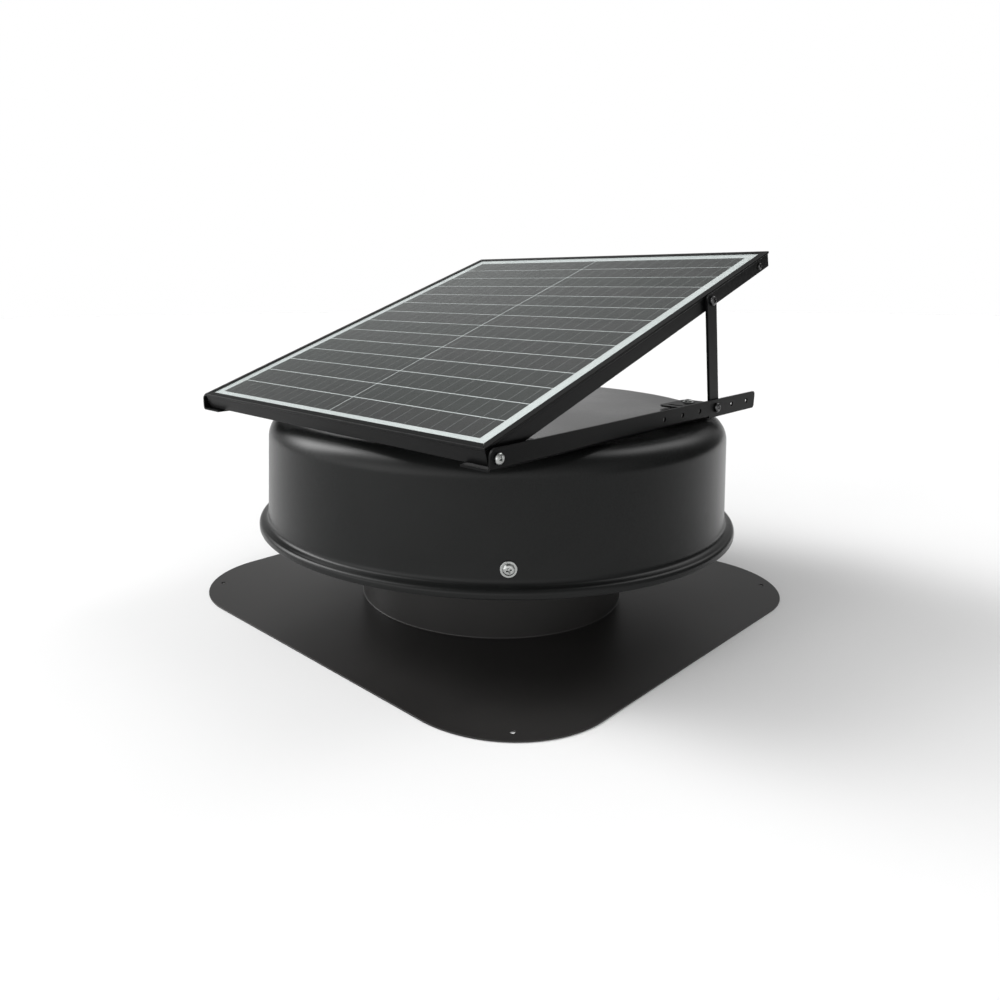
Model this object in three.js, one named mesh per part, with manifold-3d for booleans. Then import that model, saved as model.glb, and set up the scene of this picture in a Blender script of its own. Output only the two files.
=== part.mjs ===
// Solar attic fan: seamless roof flashing with a drawn throat, a spun hood on
// three support arms, a brushless motor and a five-blade rotor in the throat,
// and a framed solar panel that tilts on two hinge bolts and is held by two
// flat struts.  Millimetres, +Z up.  The origin is the middle of the
// flashing's underside; X runs along the panel's hinge line, +Y points to the
// panel's raised edge.
import * as THREE from 'three';
import { mergeVertices } from 'three/addons/utils/BufferGeometryUtils.js';
import Module from 'manifold-3d';

const wasm = await Module();
wasm.setup();

// ---------------------------------------------------------------- dimensions
const DEG = Math.PI / 180;
const FLASH = { half: 295, t: 1.5, cornerR: 118, holeAt: 250, holeR: 2.75 };
const NECK = { R: 165.5, t: 1.5, foot: 6, top: 132 };
const HOOD = { top: 236.5, t: 1.3, rTop: 276.4, shoulder: 25.5, rLow: 281.2, zLow: 114, rim: 292.7 };
const ARM_ANGLES = [-45, 75, 195];
const ARM = { w: 30, t: 2, z: 118, rIn: 166.2, rOut: 277.9, zOut: 138, zIn: 101 };
const SIDE_SCREW_Z = 127;
const THROAT_BOLT_Z = 111.9;
const SCREEN = { rIn: 169.4, rOut: 170.6, z0: 120.6, z1: 233.5, columns: 16, rows: 1 };

const SPIDER = { z: 104, t: 2, w: 26, ringR: 56, boreR: 22, tipR: 162.5, tabTop: 121 };
const MOTOR = { r: 45, z0: 106.4, capTop: 116, top: 166, wall: 2 };
const SHAFT = { r: 4, z0: 56, z1: 161 };
const ROTOR = { tip: 156, root: 30, z: 74, blades: 5, t: 1.6, discR: 46 };

const BRACKET = { x0: 234.1, x1: 236.1, y0: -268.7, y1: 211.5, z0: 238.6, h: 20, flangeIn: 204, earIn: 150 };
const HOLE_Z = 249.2;
const HOLE_Y = [3, 40.5, 78, 115.5, 153, 190.5];
const STRUT_HOLE = 3;                       // the hole the struts are bolted to
const EAR_SCREW = { x: 167, y: 180 };
const HINGE = { y: -258.7, z: HOLE_Z };

const PANEL = { w: 460.6, l: 525.3, h: 18, tilt: 18.3 };
const HINGE_S = 7.4, HINGE_P = 12;          // hinge hole: from the front face, from the top face
const PIVOT_S = 377.6, PIVOT_P = 9;         // strut's upper hole in the side rail
const STRUT = { x0: 230.7, x1: 233.7, w: 20, end: 8 };
const GRIP = 0.3;                           // gap kept between touching pieces

// ----------------------------------------------------------------- materials
const std = (color, roughness, metalness) => new THREE.MeshStandardMaterial({ color, roughness, metalness });
const powder = std(0x1d1e1f, 0.5, 0.2);
const powderGloss = std(0x191a1b, 0.38, 0.25);
const zinc = std(0xb9bbb8, 0.32, 0.9);
const steel = std(0x8f9294, 0.35, 0.9);
const aluminium = std(0xb4b6b6, 0.4, 0.85);
const rubber = std(0x151515, 0.85, 0);
const plastic = std(0x1b1b1c, 0.6, 0);
const glassMat = std(0x20272a, 0.08, 0.1);
const cells = std(0x3a3d3f, 0.45, 0.2);
const copper = std(0x8a4a26, 0.45, 0.7);

// ------------------------------------------------------------------- helpers
function volume(g) {
  const p = g.attributes.position, ix = g.index;
  const a = new THREE.Vector3(), b = new THREE.Vector3(), c = new THREE.Vector3();
  let v = 0;
  const n = ix ? ix.count : p.count;
  for (let i = 0; i < n; i += 3) {
    const [i0, i1, i2] = ix ? [ix.getX(i), ix.getX(i + 1), ix.getX(i + 2)] : [i, i + 1, i + 2];
    a.fromBufferAttribute(p, i0); b.fromBufferAttribute(p, i1); c.fromBufferAttribute(p, i2);
    v += a.dot(b.cross(c));
  }
  return v / 6;
}

function solid(geometry) {
  let g = geometry.clone();
  for (const k of Object.keys(g.attributes)) if (k !== 'position') g.deleteAttribute(k);
  g = mergeVertices(g, 1e-4);
  if (volume(g) < 0) {
    const ix = g.index;
    for (let i = 0; i < ix.count; i += 3) {
      const t = ix.getX(i + 1); ix.setX(i + 1, ix.getX(i + 2)); ix.setX(i + 2, t);
    }
  }
  // drop the triangles that merging has collapsed
  const keep = [];
  for (let i = 0; i < g.index.count; i += 3) {
    const [x, y, z] = [g.index.getX(i), g.index.getX(i + 1), g.index.getX(i + 2)];
    if (x !== y && y !== z && x !== z) keep.push(x, y, z);
  }
  return new wasm.Manifold(new wasm.Mesh({
    numProp: 3,
    vertProperties: new Float32Array(g.attributes.position.array),
    triVerts: new Uint32Array(keep),
  }));
}

function geometryOf(m) {
  const mesh = m.getMesh();
  const g = new THREE.BufferGeometry();
  const n = mesh.numProp, pos = new Float32Array(mesh.vertProperties.length / n * 3);
  for (let i = 0; i < pos.length / 3; i++) for (let k = 0; k < 3; k++) pos[i * 3 + k] = mesh.vertProperties[i * n + k];
  g.setAttribute('position', new THREE.BufferAttribute(pos, 3));
  g.setIndex(new THREE.BufferAttribute(new Uint32Array(mesh.triVerts), 1));
  g.computeVertexNormals();
  return g;
}

const union = (...list) => list.reduce((a, b) => a.add(b));
const cut = (a, ...list) => list.reduce((x, y) => x.subtract(y), a);
const V2 = (x, y) => new THREE.Vector2(x, y);

function lathe(points, segments = 32) {
  const g = new THREE.LatheGeometry(points.map(([r, z]) => V2(Math.max(r, 0), z)), segments);
  g.rotateX(Math.PI / 2);
  return g;
}
const ring = (points, segments = 32) => lathe([...points, points[0]], segments);
const cyl = (r, z0, z1, segments = 24) => lathe([[0, z0], [r, z0], [r, z1], [0, z1]], segments);
const block = (x0, x1, y0, y1, z0, z1) =>
  new THREE.BoxGeometry(x1 - x0, y1 - y0, z1 - z0).translate((x0 + x1) / 2, (y0 + y1) / 2, (z0 + z1) / 2);

function plate(shape, z0, z1, curveSegments = 10) {
  return new THREE.ExtrudeGeometry(shape, { depth: z1 - z0, bevelEnabled: false, curveSegments }).translate(0, 0, z0);
}

// a geometry made along +Z, turned so that +Z points along +X (or -X)
const alongX = (g, side = 1) => g.clone().rotateY(side * Math.PI / 2);

function roundedRect(x0, x1, y0, y1, r) {
  const [a, b, c, d] = Array.isArray(r) ? r : [r, r, r, r];
  const s = new THREE.Shape();
  s.moveTo(x0 + a, y0);
  s.lineTo(x1 - b, y0); if (b) s.absarc(x1 - b, y0 + b, b, -Math.PI / 2, 0, false);
  s.lineTo(x1, y1 - c); if (c) s.absarc(x1 - c, y1 - c, c, 0, Math.PI / 2, false);
  s.lineTo(x0 + d, y1); if (d) s.absarc(x0 + d, y1 - d, d, Math.PI / 2, Math.PI, false);
  s.lineTo(x0, y0 + a); if (a) s.absarc(x0 + a, y0 + a, a, Math.PI, 1.5 * Math.PI, false);
  return s;
}

const group = new THREE.Group();
function add(name, shape, material, parent = group) {
  const g = shape instanceof THREE.BufferGeometry ? geometryOf(solid(shape)) : geometryOf(shape);
  const m = new THREE.Mesh(g, material);
  m.name = name;
  parent.add(m);
  return m;
}

// pan-head screw along +Z: the head's underside at z = 0, the shank below it
function screw(headR, headH, shankR, length, segments = 12) {
  return lathe([[0, -length], [shankR, -length], [shankR, 0], [headR, 0], [headR, headH * 0.5],
    [headR * 0.6, headH], [0, headH]], segments);
}
// the same, with a captive flat washer under the head
function semsScrew(headR, headH, shankR, length, washerR, washerT, segments = 12) {
  return lathe([[0, -length], [shankR, -length], [shankR, 0], [washerR, 0], [washerR, washerT], [headR, washerT],
    [headR, washerT + headH * 0.5], [headR * 0.6, washerT + headH], [0, washerT + headH]], segments);
}
function hexNut(af, h, boreR) {
  const nut = new THREE.CylinderGeometry(af / 2 / Math.cos(Math.PI / 6), af / 2 / Math.cos(Math.PI / 6), h, 6).rotateX(Math.PI / 2);
  return cut(solid(nut.translate(0, 0, h / 2)), solid(cyl(boreR, -1, h + 1, 10)));
}

// ------------------------------------------------------------- base flashing
{
  const h = FLASH.half;
  const sheet = roundedRect(-h, h, -h, h, FLASH.cornerR);
  const bore = new THREE.Path().absarc(0, 0, NECK.R + NECK.foot + 1, 0, 2 * Math.PI, true);
  sheet.holes.push(bore);
  for (const sx of [-1, 1]) for (const sy of [-1, 1]) {
    sheet.holes.push(new THREE.Path().absarc(sx * FLASH.holeAt, sy * FLASH.holeAt, FLASH.holeR, 0, 2 * Math.PI, true));
  }
  const R = NECK.R, t = NECK.t, f = NECK.foot, T = FLASH.t;
  const pts = [[R + f + 4, 0], [R + f + 4, T]];
  for (const a of [0, 45, 90]) pts.push([R + f - f * Math.sin(a * DEG), T + f - f * Math.cos(a * DEG)]);
  pts.push([R, NECK.top - 4], [R + 2.6, NECK.top - 1.6], [R + 1.6, NECK.top + 1.6], [R - t, NECK.top + 0.6]);
  for (const a of [90, 45, 0]) pts.push([R - t + (f + t) - (f + t) * Math.sin(a * DEG), (f + t) - (f + t) * Math.cos(a * DEG)]);
  let body = union(solid(plate(sheet, 0, T, 9)), solid(ring(pts, 48)));
  for (const a of ARM_ANGLES) {
    const hole = cyl(3.3, R - 8, R + 8, 12).rotateY(Math.PI / 2).translate(0, 0, THROAT_BOLT_Z).rotateZ(a * DEG);
    body = cut(body, solid(hole));
  }
  add('base_flashing', body, powder);
}

// ---------------------------------------------------------------------- hood
{
  const { top, t, rTop, shoulder: q, rLow, zLow } = HOOD;
  const out = [[0, top]], inn = [[0, top - t]];
  for (const a of [90, 68, 45, 22, 0]) {
    const c = Math.cos(a * DEG), s = Math.sin(a * DEG);
    out.push([rTop - q + q * c, top - q + q * s]);
    inn.push([rTop - q + (q - t) * c, top - q + (q - t) * s]);
  }
  out.push([rLow, zLow], [rLow + 2.4, zLow - 3.2], [rLow + 7.8, zLow - 4.4], [HOOD.rim, zLow - 9], [HOOD.rim - 0.6, zLow - 13.6]);
  inn.push([rLow - t, zLow], [rLow + 1.6, zLow - 4.6], [rLow + 7, zLow - 5.8], [HOOD.rim - 1.5, zLow - 9.6], [HOOD.rim - 2, zLow - 13.4]);
  let body = solid(lathe([...out, ...inn.reverse()], 54));
  for (const a of ARM_ANGLES) {
    const hole = cyl(3, 270, 290, 12).rotateY(Math.PI / 2).translate(0, 0, SIDE_SCREW_Z).rotateZ(a * DEG);
    body = cut(body, solid(hole));
  }
  for (const sx of [-1, 1]) for (const sy of [-1, 1]) {
    body = cut(body, solid(cyl(2.8, top - 5, top + 5, 12).translate(sx * EAR_SCREW.x, sy * EAR_SCREW.y, 0)));
  }
  body = cut(body, solid(cyl(8, top - 5, top + 5, 16).translate(-70, 110, 0)));
  add('hood', body, powder);
}

// cable grommet in the hood's top, under the panel
{
  const z = HOOD.top, t = HOOD.t;
  add('hood_grommet', new THREE.BufferGeometry().copy(ring([[3.4, z - t - 2.4], [10, z - t - 2.4], [10, z - t - GRIP], [7.6, z - t - GRIP], [7.6, z + GRIP], [10, z + GRIP],
    [9.4, z + 2.6], [3.4, z + 3.2]], 12))
    .translate(-70, 110, 0), rubber);
}

// ------------------------------------------------------- hood support arms
ARM_ANGLES.forEach((angle, i) => {
  const { w, t, z, rIn, rOut, zOut, zIn } = ARM;
  const strap = new THREE.Shape([V2(rIn, zIn), V2(rIn + t, zIn), V2(rIn + t, z), V2(rOut - t, z), V2(rOut - t, z),
    V2(rOut, z), V2(rOut, zOut), V2(rOut - t, zOut), V2(rOut - t, z + t), V2(rIn, z + t)].filter((p, k, a) => k === 0 || !p.equals(a[k - 1])));
  const g = new THREE.ExtrudeGeometry(strap, { depth: w, bevelEnabled: false }).translate(0, 0, -w / 2).rotateX(Math.PI / 2);
  let arm = solid(g);
  arm = cut(arm, solid(cyl(3.2, rIn - 5, rIn + 8, 16).rotateY(Math.PI / 2).translate(0, 0, THROAT_BOLT_Z)),
    solid(cyl(2.6, rOut - 8, rOut + 5, 16).rotateY(Math.PI / 2).translate(0, 0, SIDE_SCREW_Z)));
  const m = add(`hood_arm_${i + 1}`, arm, powder);
  m.rotation.z = angle * DEG;

  // screw with a captive washer through the hood's wall into the arm
  const wall = HOOD.rLow - (SIDE_SCREW_Z - HOOD.zLow) * (HOOD.rLow - HOOD.rTop) / (HOOD.top - HOOD.shoulder - HOOD.zLow);
  const s = add(`hood_screw_${i + 1}`, semsScrew(5.8, 3, 2.3, 14, 8.2, 1.2, 12).rotateY(Math.PI / 2)
    .translate(wall + GRIP, 0, SIDE_SCREW_Z), zinc);
  s.rotation.z = angle * DEG;

  // bolt through the motor spider's tab, the throat wall and the arm's foot
  const headFace = SPIDER.tipR - SPIDER.t - GRIP;
  const b = add(`throat_bolt_${i + 1}`, screw(5.2, 3.2, 2.9, 15.5, 8).rotateY(-Math.PI / 2)
    .translate(headFace, 0, THROAT_BOLT_Z), zinc);
  b.rotation.z = angle * DEG;
  const n = add(`throat_nut_${i + 1}`, geometryOf(hexNut(10, 4.6, 3.15)).rotateY(Math.PI / 2)
    .translate(rIn + t + GRIP, 0, THROAT_BOLT_Z), zinc);
  n.rotation.z = angle * DEG;
});

// ------------------------------------------------- insect screen round throat
{
  const { rIn, rOut, z0, z1, columns, rows } = SCREEN;
  let body = solid(ring([[rIn, z0], [rOut, z0], [rOut, z1], [rIn, z1]], columns * 2));
  const pitch = (z1 - z0 - 6) / rows, wide = 2 * Math.PI * rOut / columns - 4;
  for (let k = 0; k < columns / 2; k++) for (let j = 0; j < rows; j++) {
    const b = block(-rOut - 5, rOut + 5, -wide / 2, wide / 2, z0 + 3 + j * pitch + 1.5, z0 + 3 + (j + 1) * pitch - 1.5)
      .rotateZ((k + 0.5) * 2 * Math.PI / columns);
    body = cut(body, solid(b));
  }
  add('insect_screen', body, steel);
}

// --------------------------------------------------------------- motor mount
{
  const { z, t, w, ringR, boreR, tipR, tabTop } = SPIDER;
  let body = solid(cyl(ringR, z, z + t, 24));
  for (const a of ARM_ANGLES) {
    const arm = union(solid(block(20, tipR, -w / 2, w / 2, z, z + t)), solid(block(tipR - t, tipR, -w / 2, w / 2, z, tabTop)));
    body = body.add(solid(geometryOf(cut(arm, solid(cyl(3.2, tipR - 8, tipR + 8, 16).rotateY(Math.PI / 2)
      .translate(0, 0, THROAT_BOLT_Z)))).rotateZ(a * DEG)));
  }
  body = cut(body, solid(cyl(boreR, z - 5, z + t + 5, 20)));
  for (const a of [15, 135, 255]) {
    body = cut(body, solid(cyl(2.3, z - 5, z + t + 5, 12).translate(34 * Math.cos(a * DEG), 34 * Math.sin(a * DEG), 0)));
  }
  add('motor_mount', body, powder);
}

// --------------------------------------------------------------------- motor
{
  const { r, z0, capTop, top, wall } = MOTOR;
  const q = 4;
  // can: closed top with a bearing pocket, open below
  add('motor_housing', ring([[r - wall, capTop + GRIP], [r, capTop + GRIP], [r, top - q], [r - q, top],
    [13, top], [13, top + 3], [5.2, top + 3], [5.2, top + 1], [11.4, top + 1], [11.4, top - 8], [13.6, top - 8], [13.6, top - wall],
    [r - wall, top - wall]], 20), powderGloss);
  // lower end cap with the other bearing pocket and a spigot
  let cap = solid(ring([[5.2, z0], [r, z0], [r, capTop], [r - wall - 0.4, capTop], [r - wall - 0.4, capTop + 3],
    [r - wall - 3, capTop + 3], [r - wall - 3, z0 + 3], [14, z0 + 3], [14, z0 + 9.6], [11.4, z0 + 9.6], [11.4, z0 + 1.6], [5.2, z0 + 1.6]], 20));
  for (const a of [15, 135, 255]) {
    cap = cut(cap, solid(cyl(1.9, z0 - 2, z0 + 6, 12).translate(34 * Math.cos(a * DEG), 34 * Math.sin(a * DEG), 0)));
  }
  add('motor_end_cap', cap, aluminium);
  const bearing = (zb) => ring([[SHAFT.r + 0.1, zb], [11.1, zb], [11.1, zb + 7], [SHAFT.r + 0.1, zb + 7]], 14);
  add('bearing_lower', bearing(z0 + 1.9), steel);
  add('bearing_upper', bearing(top - 6.4), steel);

  // laminated stator with nine wound teeth
  const teeth = 9, outer = r - wall - 1.2, inner = 25.2, slot = 36;
  const ringShape = new THREE.Shape().absarc(0, 0, outer, 0, 2 * Math.PI, false);
  const pts = [];
  for (let k = 0; k < teeth; k++) {
    const a = k * 2 * Math.PI / teeth, d = 2 * Math.PI / teeth;
    pts.push(V2(inner * Math.cos(a - 0.4 * d), inner * Math.sin(a - 0.4 * d)), V2(inner * Math.cos(a), inner * Math.sin(a)),
      V2(inner * Math.cos(a + 0.4 * d), inner * Math.sin(a + 0.4 * d)), V2((inner + 3) * Math.cos(a + 0.4 * d), (inner + 3) * Math.sin(a + 0.4 * d)),
      V2((inner + 4) * Math.cos(a + 0.2 * d), (inner + 4) * Math.sin(a + 0.2 * d)), V2(slot * Math.cos(a + 0.17 * d), slot * Math.sin(a + 0.17 * d)),
      V2(slot * Math.cos(a + 0.83 * d), slot * Math.sin(a + 0.83 * d)), V2((inner + 4) * Math.cos(a + 0.8 * d), (inner + 4) * Math.sin(a + 0.8 * d)),
      V2((inner + 3) * Math.cos(a + 0.6 * d), (inner + 3) * Math.sin(a + 0.6 * d)));
  }
  ringShape.holes.push(new THREE.Path(pts));
  add('motor_stator', plate(ringShape, 126, 154, 12), copper);
}

// ---------------------------------------------------------------- rotor group
{
  add('motor_shaft', lathe([[0, SHAFT.z0], [SHAFT.r - 0.6, SHAFT.z0], [SHAFT.r, SHAFT.z0 + 0.6], [SHAFT.r, SHAFT.z1], [0, SHAFT.z1]], 14), steel);
  add('motor_rotor', ring([[SHAFT.r + GRIP, 124], [24.4, 124], [24.4, 156], [SHAFT.r + GRIP, 156]], 18), steel);
  // turned hub that clamps the blade wheel on the shaft
  let hub = solid(ring([[SHAFT.r + GRIP, 58], [13, 58], [13, 70], [26, 70], [26, ROTOR.z - 0.8 - GRIP], [SHAFT.r + GRIP, ROTOR.z - 0.8 - GRIP]], 20));
  hub = cut(hub, solid(cyl(1.7, 3, 20, 12).rotateY(Math.PI / 2).translate(0, 0, 64)));
  add('fan_hub', hub, aluminium);
  add('hub_set_screw', cyl(1.5, SHAFT.r + 0.3, 12.4, 12).rotateY(Math.PI / 2).translate(0, 0, 64), zinc);

  // one-piece stamped blade wheel
  const { tip, root, z, blades, t, discR } = ROTOR;
  function blade(a0) {
    const nu = 6, nv = 3, top = [], low = [];
    for (let i = 0; i <= nu; i++) {
      const u = i / nu, r = root + (tip - root) * u;
      const half = (24 - 3 * u + 4 * Math.sin(Math.PI * u)) * DEG * (u < 0.12 ? 0.86 : 1);
      const sweep = 9 * u * u * DEG;
      const pitch = Math.tan((36 - 15 * u) * DEG);
      for (let j = 0; j <= nv; j++) {
        const v = j / nv * 2 - 1, phi = a0 + sweep + half * v;
        let rr = r;
        if (i === nu) rr = Math.min(tip, tip * (1 - 0.035 * v * v * v * v));
        const dz = -r * half * v * pitch * Math.min(1, 0.25 + 1.6 * u) * 0.62 + 2.2 * (1 - v * v) * u;
        const p = [rr * Math.cos(phi), rr * Math.sin(phi), z + dz];
        top.push([p[0], p[1], p[2] + t / 2]); low.push([p[0], p[1], p[2] - t / 2]);
      }
    }
    const N = top.length, verts = [...top, ...low].flat(), idx = [], id = (i, j) => i * (nv + 1) + j;
    for (let i = 0; i < nu; i++) for (let j = 0; j < nv; j++) {
      const [A, B, C, D] = [id(i, j), id(i + 1, j), id(i + 1, j + 1), id(i, j + 1)];
      idx.push(A, B, C, A, C, D, A + N, C + N, B + N, A + N, D + N, C + N);
    }
    const edge = (A, B) => idx.push(A, B + N, B, A, A + N, B + N);
    for (let i = 0; i < nu; i++) { edge(id(i, 0), id(i + 1, 0)); edge(id(i + 1, nv), id(i, nv)); }
    for (let j = 0; j < nv; j++) { edge(id(nu, j), id(nu, j + 1)); edge(id(0, j + 1), id(0, j)); }
    const g = new THREE.BufferGeometry();
    g.setAttribute('position', new THREE.BufferAttribute(new Float32Array(verts), 3));
    g.setIndex(idx);
    return solid(g);
  }
  let wheel = solid(cyl(discR, z - 0.8, z + 0.8, 25));
  for (let k = 0; k < blades; k++) wheel = wheel.add(blade(k * 2 * Math.PI / blades));
  wheel = cut(wheel, solid(cyl(SHAFT.r + GRIP, z - 20, z + 20, 20)));
  add('fan_blade_wheel', wheel, aluminium);
}

// ----------------------------------------------------- panel tilt brackets
// Pressed angle: an upright web with a row of adjustment holes, a foot flange
// turned inward, and two slotted ears that screw to the hood.  Behind the
// fourth hole the foot stands clear of the web so that the strut can drop.
function bracket(side) {
  const { x0, x1, y0, y1, z0, h, flangeIn, earIn } = BRACKET;
  // web drawn in (y, z), then extruded along x
  const web = roundedRect(y0, y1, z0, z0 + h, [0, 4, 4, 6]);
  for (const y of [HINGE.y, ...HOLE_Y]) web.holes.push(new THREE.Path().absarc(y, HOLE_Z, 2.8, 0, 2 * Math.PI, true));
  const webGeo = new THREE.ExtrudeGeometry(web, { depth: x1 - x0, bevelEnabled: false, curveSegments: 4 });
  webGeo.applyMatrix4(new THREE.Matrix4().makeBasis(new THREE.Vector3(0, 1, 0), new THREE.Vector3(0, 0, 1), new THREE.Vector3(1, 0, 0)));
  webGeo.translate(x0, 0, 0);
  const foot = new THREE.Shape([V2(x1, y0), V2(x1, 104), V2(229.4, 104), V2(229.4, 202), V2(earIn + 5, 202), V2(earIn, 197), V2(earIn, 143),
    V2(earIn + 5, 138), V2(flangeIn, 138), V2(flangeIn, -138), V2(earIn + 5, -138), V2(earIn, -143), V2(earIn, -197), V2(earIn + 5, -202),
    V2(flangeIn, -202), V2(flangeIn, y0)]);
  const slot = (y) => {
    const p = new THREE.Path(), a = EAR_SCREW.x - 7, b = EAR_SCREW.x + 7, r = 2.8;
    p.absarc(b, y, r, Math.PI / 2, -Math.PI / 2, true);
    p.absarc(a, y, r, -Math.PI / 2, Math.PI / 2, true);
    p.closePath();
    return p;
  };
  for (const y of [-180, -150, 150, 180]) foot.holes.push(slot(y));
  let body = union(solid(webGeo), solid(plate(foot, z0, z0 + 2, 3)));
  const g = geometryOf(body);
  if (side < 0) { g.scale(-1, 1, 1); }
  return g;
}
for (const [side, word] of [[1, 'right'], [-1, 'left']]) {
  add(`tilt_bracket_${word}`, bracket(side), powderGloss);
  for (const [sy, end] of [[-1, 'front'], [1, 'rear']]) {
    const x = side * EAR_SCREW.x, y = sy * EAR_SCREW.y;
    add(`bracket_seal_${end}_${word}`, ring([[2.9, HOOD.top + GRIP], [8, HOOD.top + GRIP], [8, BRACKET.z0 - 0.25], [2.9, BRACKET.z0 - 0.25]], 12).translate(x, y, 0), rubber);
    add(`bracket_screw_${end}_${word}`, semsScrew(4.7, 2.8, 2.3, 16, 6.6, 1, 10).translate(x, y, BRACKET.z0 + 2 + GRIP), zinc);
  }
  // hinge bolt, with a spacer between web and rail
  const place = (g, x, y, z) => g.clone().scale(1, 1, 1).translate(x, y, z);
  const dir = side * Math.PI / 2;
  add(`hinge_bolt_${word}`, place(screw(5.3, 3.2, 2.4, 14, 10).rotateY(dir), side * (BRACKET.x1 + GRIP), HINGE.y, HINGE.z), zinc);
  add(`hinge_spacer_${word}`, place(ring([[2.7, 0], [5.4, 0], [5.4, 3.1], [2.7, 3.1]], 12).rotateY(dir), side * 230.75, HINGE.y, HINGE.z), zinc);
  // lower strut bolt: it ends inside the web's hole, because the strut lifts off here when the tilt changes
  add(`strut_lower_bolt_${word}`, place(screw(5.3, 3.2, 2.4, 2.4, 10).rotateY(dir), side * (BRACKET.x1 + GRIP), HOLE_Y[STRUT_HOLE], HOLE_Z), zinc);
}

// ------------------------------------------------------- solar panel, tilted
const tilt = PANEL.tilt * DEG;
const origin = {
  y: HINGE.y - HINGE_S * Math.cos(tilt) - HINGE_P * Math.sin(tilt),
  z: HINGE.z - HINGE_S * Math.sin(tilt) + HINGE_P * Math.cos(tilt),
};
const panel = new THREE.Group();             // local: x, s towards the raised edge, z = 0 at the top face
panel.position.set(0, origin.y, origin.z);
panel.rotation.x = tilt;
group.add(panel);
const world = (s, p) => [origin.y + s * Math.cos(tilt) + p * Math.sin(tilt), origin.z + s * Math.sin(tilt) - p * Math.cos(tilt)];

// frame section: u inward from the outer edge, p down from the top face
const SECTION = [[0, 0], [7.5, 0], [7.5, 1.3], [2.4, 1.3], [2.4, 5.9], [7.5, 5.9], [7.5, 7.1], [2.4, 7.1],
  [2.4, 16.5], [20, 16.5], [20, 18], [0.9, 18], [0.9, 3.2], [0, 2.4]];
// mitred rail centred on x = 0 along x, its outer edge on y = 0, inward +y
function rail(length) {
  const n = SECTION.length, verts = [], idx = [];
  for (const end of [-1, 1]) for (const [u, p] of SECTION) verts.push(end * (length / 2 - u - 0.2), u, -p);
  const faces = THREE.ShapeUtils.triangulateShape(SECTION.map(([u, p]) => V2(u, -p)), []);
  for (const [a, b, c] of faces) { idx.push(a, b, c, a + n, c + n, b + n); }
  for (let i = 0; i < n; i++) { const j = (i + 1) % n; idx.push(i, j, j + n, i, j + n, i + n); }
  const g = new THREE.BufferGeometry();
  g.setAttribute('position', new THREE.BufferAttribute(new Float32Array(verts), 3));
  g.setIndex(idx);
  return geometryOf(solid(g));
}
const W = PANEL.w, L = PANEL.l;
add('frame_rail_front', rail(W), powderGloss, panel);
add('frame_rail_rear', rail(W).rotateZ(Math.PI).translate(0, L, 0), powderGloss, panel);
const FRAME_SCREW_S = L - 25;
for (const [side, word] of [[1, 'right'], [-1, 'left']]) {
  const g = rail(L).rotateZ(side * Math.PI / 2).translate(side * W / 2, L / 2, 0);
  const drill = (s, p, r) => solid(cyl(r, -12, 12, 12).rotateY(Math.PI / 2).translate(side * W / 2, s, -p));
  add(`frame_rail_${word}`, cut(solid(g), drill(HINGE_S, HINGE_P, 2.7), drill(PIVOT_S, PIVOT_P, 2.7), drill(FRAME_SCREW_S, 10.6, 1.9)), powderGloss, panel);
  const dir = side * Math.PI / 2;
  const face = W / 2 - 0.9, inside = W / 2 - 2.4;
  // nuts sit in the rail's channel with two flats level with its foot
  const nut = () => geometryOf(hexNut(8, 3.4, 2.55)).rotateZ(0).rotateY(dir);
  add(`hinge_nut_${word}`, nut().translate(side * (inside - GRIP - 3.4) , HINGE_S, -HINGE_P), zinc, panel);
  add(`strut_upper_bolt_${word}`, screw(5.3, 3.2, 2.4, 12.5, 10).rotateY(dir).translate(side * (STRUT.x1 + GRIP), PIVOT_S, -PIVOT_P), zinc, panel);
  add(`frame_screw_${word}`, screw(3.8, 2, 1.6, 9, 10).rotateY(dir).translate(side * (face + 0.2), FRAME_SCREW_S, -10.6), zinc, panel);
}
add('panel_glass', block(-W / 2 + 2.8, W / 2 - 2.8, 2.8, L - 2.8, -4.8, -1.6), glassMat, panel);
add('cell_laminate', block(-W / 2 + 2.8, W / 2 - 2.8, 2.8, L - 2.8, -5.6, -5.0), cells, panel);

// junction box under the laminate
{
  const s0 = 415, s1 = 470;
  const shell = cut(solid(plate(roundedRect(-45, 45, s0, s1, 5), -16.5, -6, 4)), solid(plate(roundedRect(-42.5, 42.5, s0 + 2.5, s1 - 2.5, 3), -20, -8.5, 4)),
    solid(cyl(4.4, -8, 8, 16).rotateX(Math.PI / 2).translate(0, s0, -12.2)));
  add('junction_box', shell, plastic, panel);
  add('junction_box_lid', plate(roundedRect(-45, 45, s0, s1, 5), -18.8, -16.8, 4), plastic, panel);
  const gland = cut(union(solid(cyl(4.1, -3.2, 4, 12)), solid(new THREE.CylinderGeometry(6.2, 6.2, 4, 6).rotateX(Math.PI / 2).translate(0, 0, 2.3)),
    solid(lathe([[0, 4], [5.4, 4], [5.4, 8], [4.2, 12], [0, 12]], 12))), solid(cyl(2.6, -10, 20, 10)));
  add('cable_gland', geometryOf(gland).rotateX(Math.PI / 2).translate(0, s0, -12.2), plastic, panel);
}

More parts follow.
